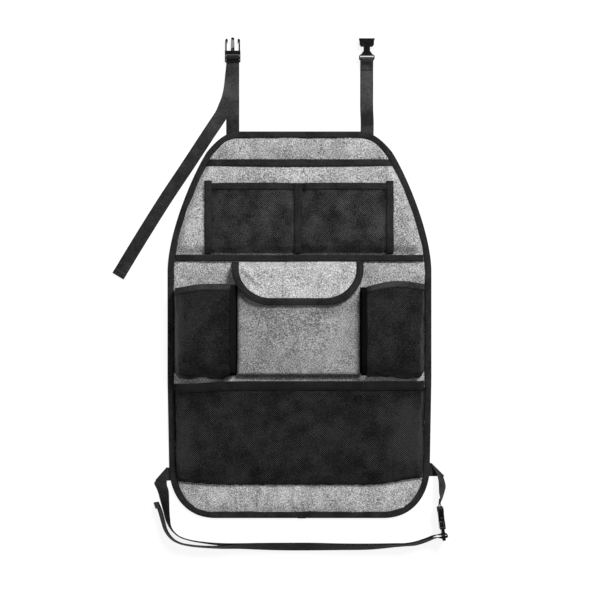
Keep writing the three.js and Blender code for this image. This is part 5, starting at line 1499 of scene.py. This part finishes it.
long_rows = [row(x, run_y, z, 90) for x, z in (
    (-EDGE + 27, FLAT + TUCK), (-EDGE + 2, FLAT), (-EDGE - 0.4, FLAT + 0.1),
    (fold_x + 0.3, FLAT + LAYER - 0.1), (fold_x, FLAT + LAYER))] + long_fold
outward_run = on_floor(LEFT_RUN, -1, 0) + double(0) + lifted(INTO_PLUG)
return_run = lifted(OUT_OF_PLUG) + double(1)[::-1] + on_floor(LOWER_TAIL, -1, 0)
long_rows += catmull([long_fold[-1]] + outward_run + [in_slot(1), loop[0]])[1:-1]
long_rows += loop
long_rows += catmull([loop[-1], in_slot(-1)] + return_run)[1:]
end = LOWER_TAIL[-1]
long_rows += hemmed(-EDGE + end[0], LOW + end[1], end[2], end[3], 109)
ribbon("lower_left_webbing", long_rows, "left_bottom_strap")

short_x, short_y = EDGE + 1.1, -222.0
D = math.sqrt(0.5)
short_fold = corner_fold((short_x + WIDTH, short_y - 10), (short_x, short_y + 10), (D, D), 0, 1)
short_loop = round_bar(pair_at + pair_up * SOCKET_BAR, -pair_up, pair_out, Z, SOCKET_WRAP, 90, -90)
short_rows = [np.array([EDGE, LOW, 0]) + pair for pair in zip(SHORT_OUTER, SHORT_INNER)]
rows = [row(EDGE - 27, short_y, FLAT + TUCK, 90), row(short_x, short_y, FLAT, 90)] + short_fold
rows += catmull([short_fold[-1]] + short_rows + [short_loop[0]])[1:-1]
rows += short_loop + [r - pair_out * (LAYER + SNUG) for r in short_rows[:-3:-1]]
ribbon("lower_right_webbing", rows, "right_bottom_strap")

# %% [markdown]
# ## Buckles
# The buckles are injection moulded, so the solids already have the right form and only lack soft edges. A copy of
# each solid is cleaned up and its sharp edges are bevelled.

# %% Bevelled buckles
BEVEL = 0.6


def softened(name, cad):
    """A buckle's solid with its sharp edges bevelled."""
    source = frame["nodes"][cad]
    mesh = source.data.copy()
    mesh.name = name
    mesh.materials.clear()
    bm = bmesh.new()
    bm.from_mesh(mesh)
    bm.transform(source.matrix_world)
    bmesh.ops.remove_doubles(bm, verts=bm.verts, dist=1e-6)
    bmesh.ops.dissolve_limit(bm, angle_limit=0.02, verts=bm.verts, edges=bm.edges)
    sharp = [e for e in bm.edges if e.is_manifold and e.calc_face_angle(0) > 0.6]
    bmesh.ops.bevel(bm, geom=sharp, offset=BEVEL * MM, segments=2, profile=0.6, affect="EDGES",
                    clamp_overlap=True)
    bmesh.ops.triangulate(bm, faces=bm.faces)
    bm.to_mesh(mesh)
    bm.free()
    dress(linked(name, mesh), PLASTIC, "buckle_plastic", cad)


for name, cad in (("top_plug", "left_top_buckle"), ("top_socket", "right_top_buckle"),
                  ("lower_plug", "bottom_plug"), ("lower_socket", "bottom_right_socket")):
    softened(name, cad)

# %% [markdown]
# ## Floor, light and camera
# The organizer lies on plain white. A large soft lamp stands beyond the top right corner, a weak one fills in from
# the left, and the sky is darker overhead than at its sides. A colour renders about as it is written. The camera
# looks straight down.

# %% Floor
FLOOR_HALF, FLOOR_Z = 6, -0.0002
PAPER_GREY, PAPER_GLOW = 0.2, 0.88
floor_mesh = bpy.data.meshes.new("floor")
corners = [(x * FLOOR_HALF, y * FLOOR_HALF, FLOOR_Z) for x, y in ((-1, -1), (1, -1), (1, 1), (-1, 1))]
floor_mesh.from_pydata(corners, [], [(0, 1, 2, 3)])
floor = linked("floor", floor_mesh)
white = bpy.data.materials.new("white paper")
white.use_nodes = True
tree = white.node_tree
tree.nodes.clear()
path = node(tree, "ShaderNodeLightPath")
seen = math_node(tree, "MAXIMUM", path.outputs["Is Camera Ray"], path.outputs["Is Glossy Ray"])
glow = node(tree, "ShaderNodeEmission", inputs={"Strength": math_node(tree, "MULTIPLY", seen, PAPER_GLOW)})
paper = node(tree, "ShaderNodeBsdfDiffuse", inputs={0: (PAPER_GREY, PAPER_GREY, PAPER_GREY, 1)})
both = node(tree, "ShaderNodeAddShader", inputs={0: paper.outputs[0], 1: glow.outputs[0]})
node(tree, "ShaderNodeOutputMaterial", inputs={0: both.outputs[0]})
floor.data.materials.append(white)

# %% World and lamps
world = bpy.data.worlds.new("soft sky")
bpy.context.scene.world = world
world.use_nodes = True
tree = world.node_tree
sky = tree.nodes["Background"]
sky.inputs["Color"].default_value = (1, 1, 1, 1)
direction = node(tree, "ShaderNodeTexCoord").outputs["Generated"]
overhead = node(tree, "ShaderNodeSeparateXYZ", inputs={0: direction}).outputs[2]
bright = node(tree, "ShaderNodeMapRange", interpolation_type="SMOOTHSTEP", inputs={
    "Value": overhead, "From Min": 0.55, "From Max": 0.85, "To Min": 0.4, "To Max": 0.08})
tree.links.new(bright.outputs[0], sky.inputs["Strength"])
for name, place, power, size in (("soft box", (1.5, 2.3, 2.5), 140, 1.1), ("fill box", (-1.6, -0.4, 2.2), 8, 1.8)):
    lamp = bpy.data.lights.new(name, "AREA")
    lamp.energy, lamp.size = power, size
    obj = linked(name, lamp)
    obj.location = place
    obj.rotation_euler = (-Vector(place)).to_track_quat("-Z", "Y").to_euler()

# %% Camera
CAMERA_HEIGHT, FRAME_SIDE, SENSOR = 3.2, 0.918, 36
camera_data = bpy.data.cameras.new("camera")
camera = linked("camera", camera_data)
camera.location = (0.0008, 0.0375, CAMERA_HEIGHT)
camera_data.sensor_width = SENSOR
camera_data.lens = SENSOR * CAMERA_HEIGHT / FRAME_SIDE
camera_data.clip_end = 50
bpy.context.scene.camera = camera
bpy.context.scene.view_settings.view_transform = "Standard"

# %% Finish: update the view layer
bpy.context.view_layer.update()
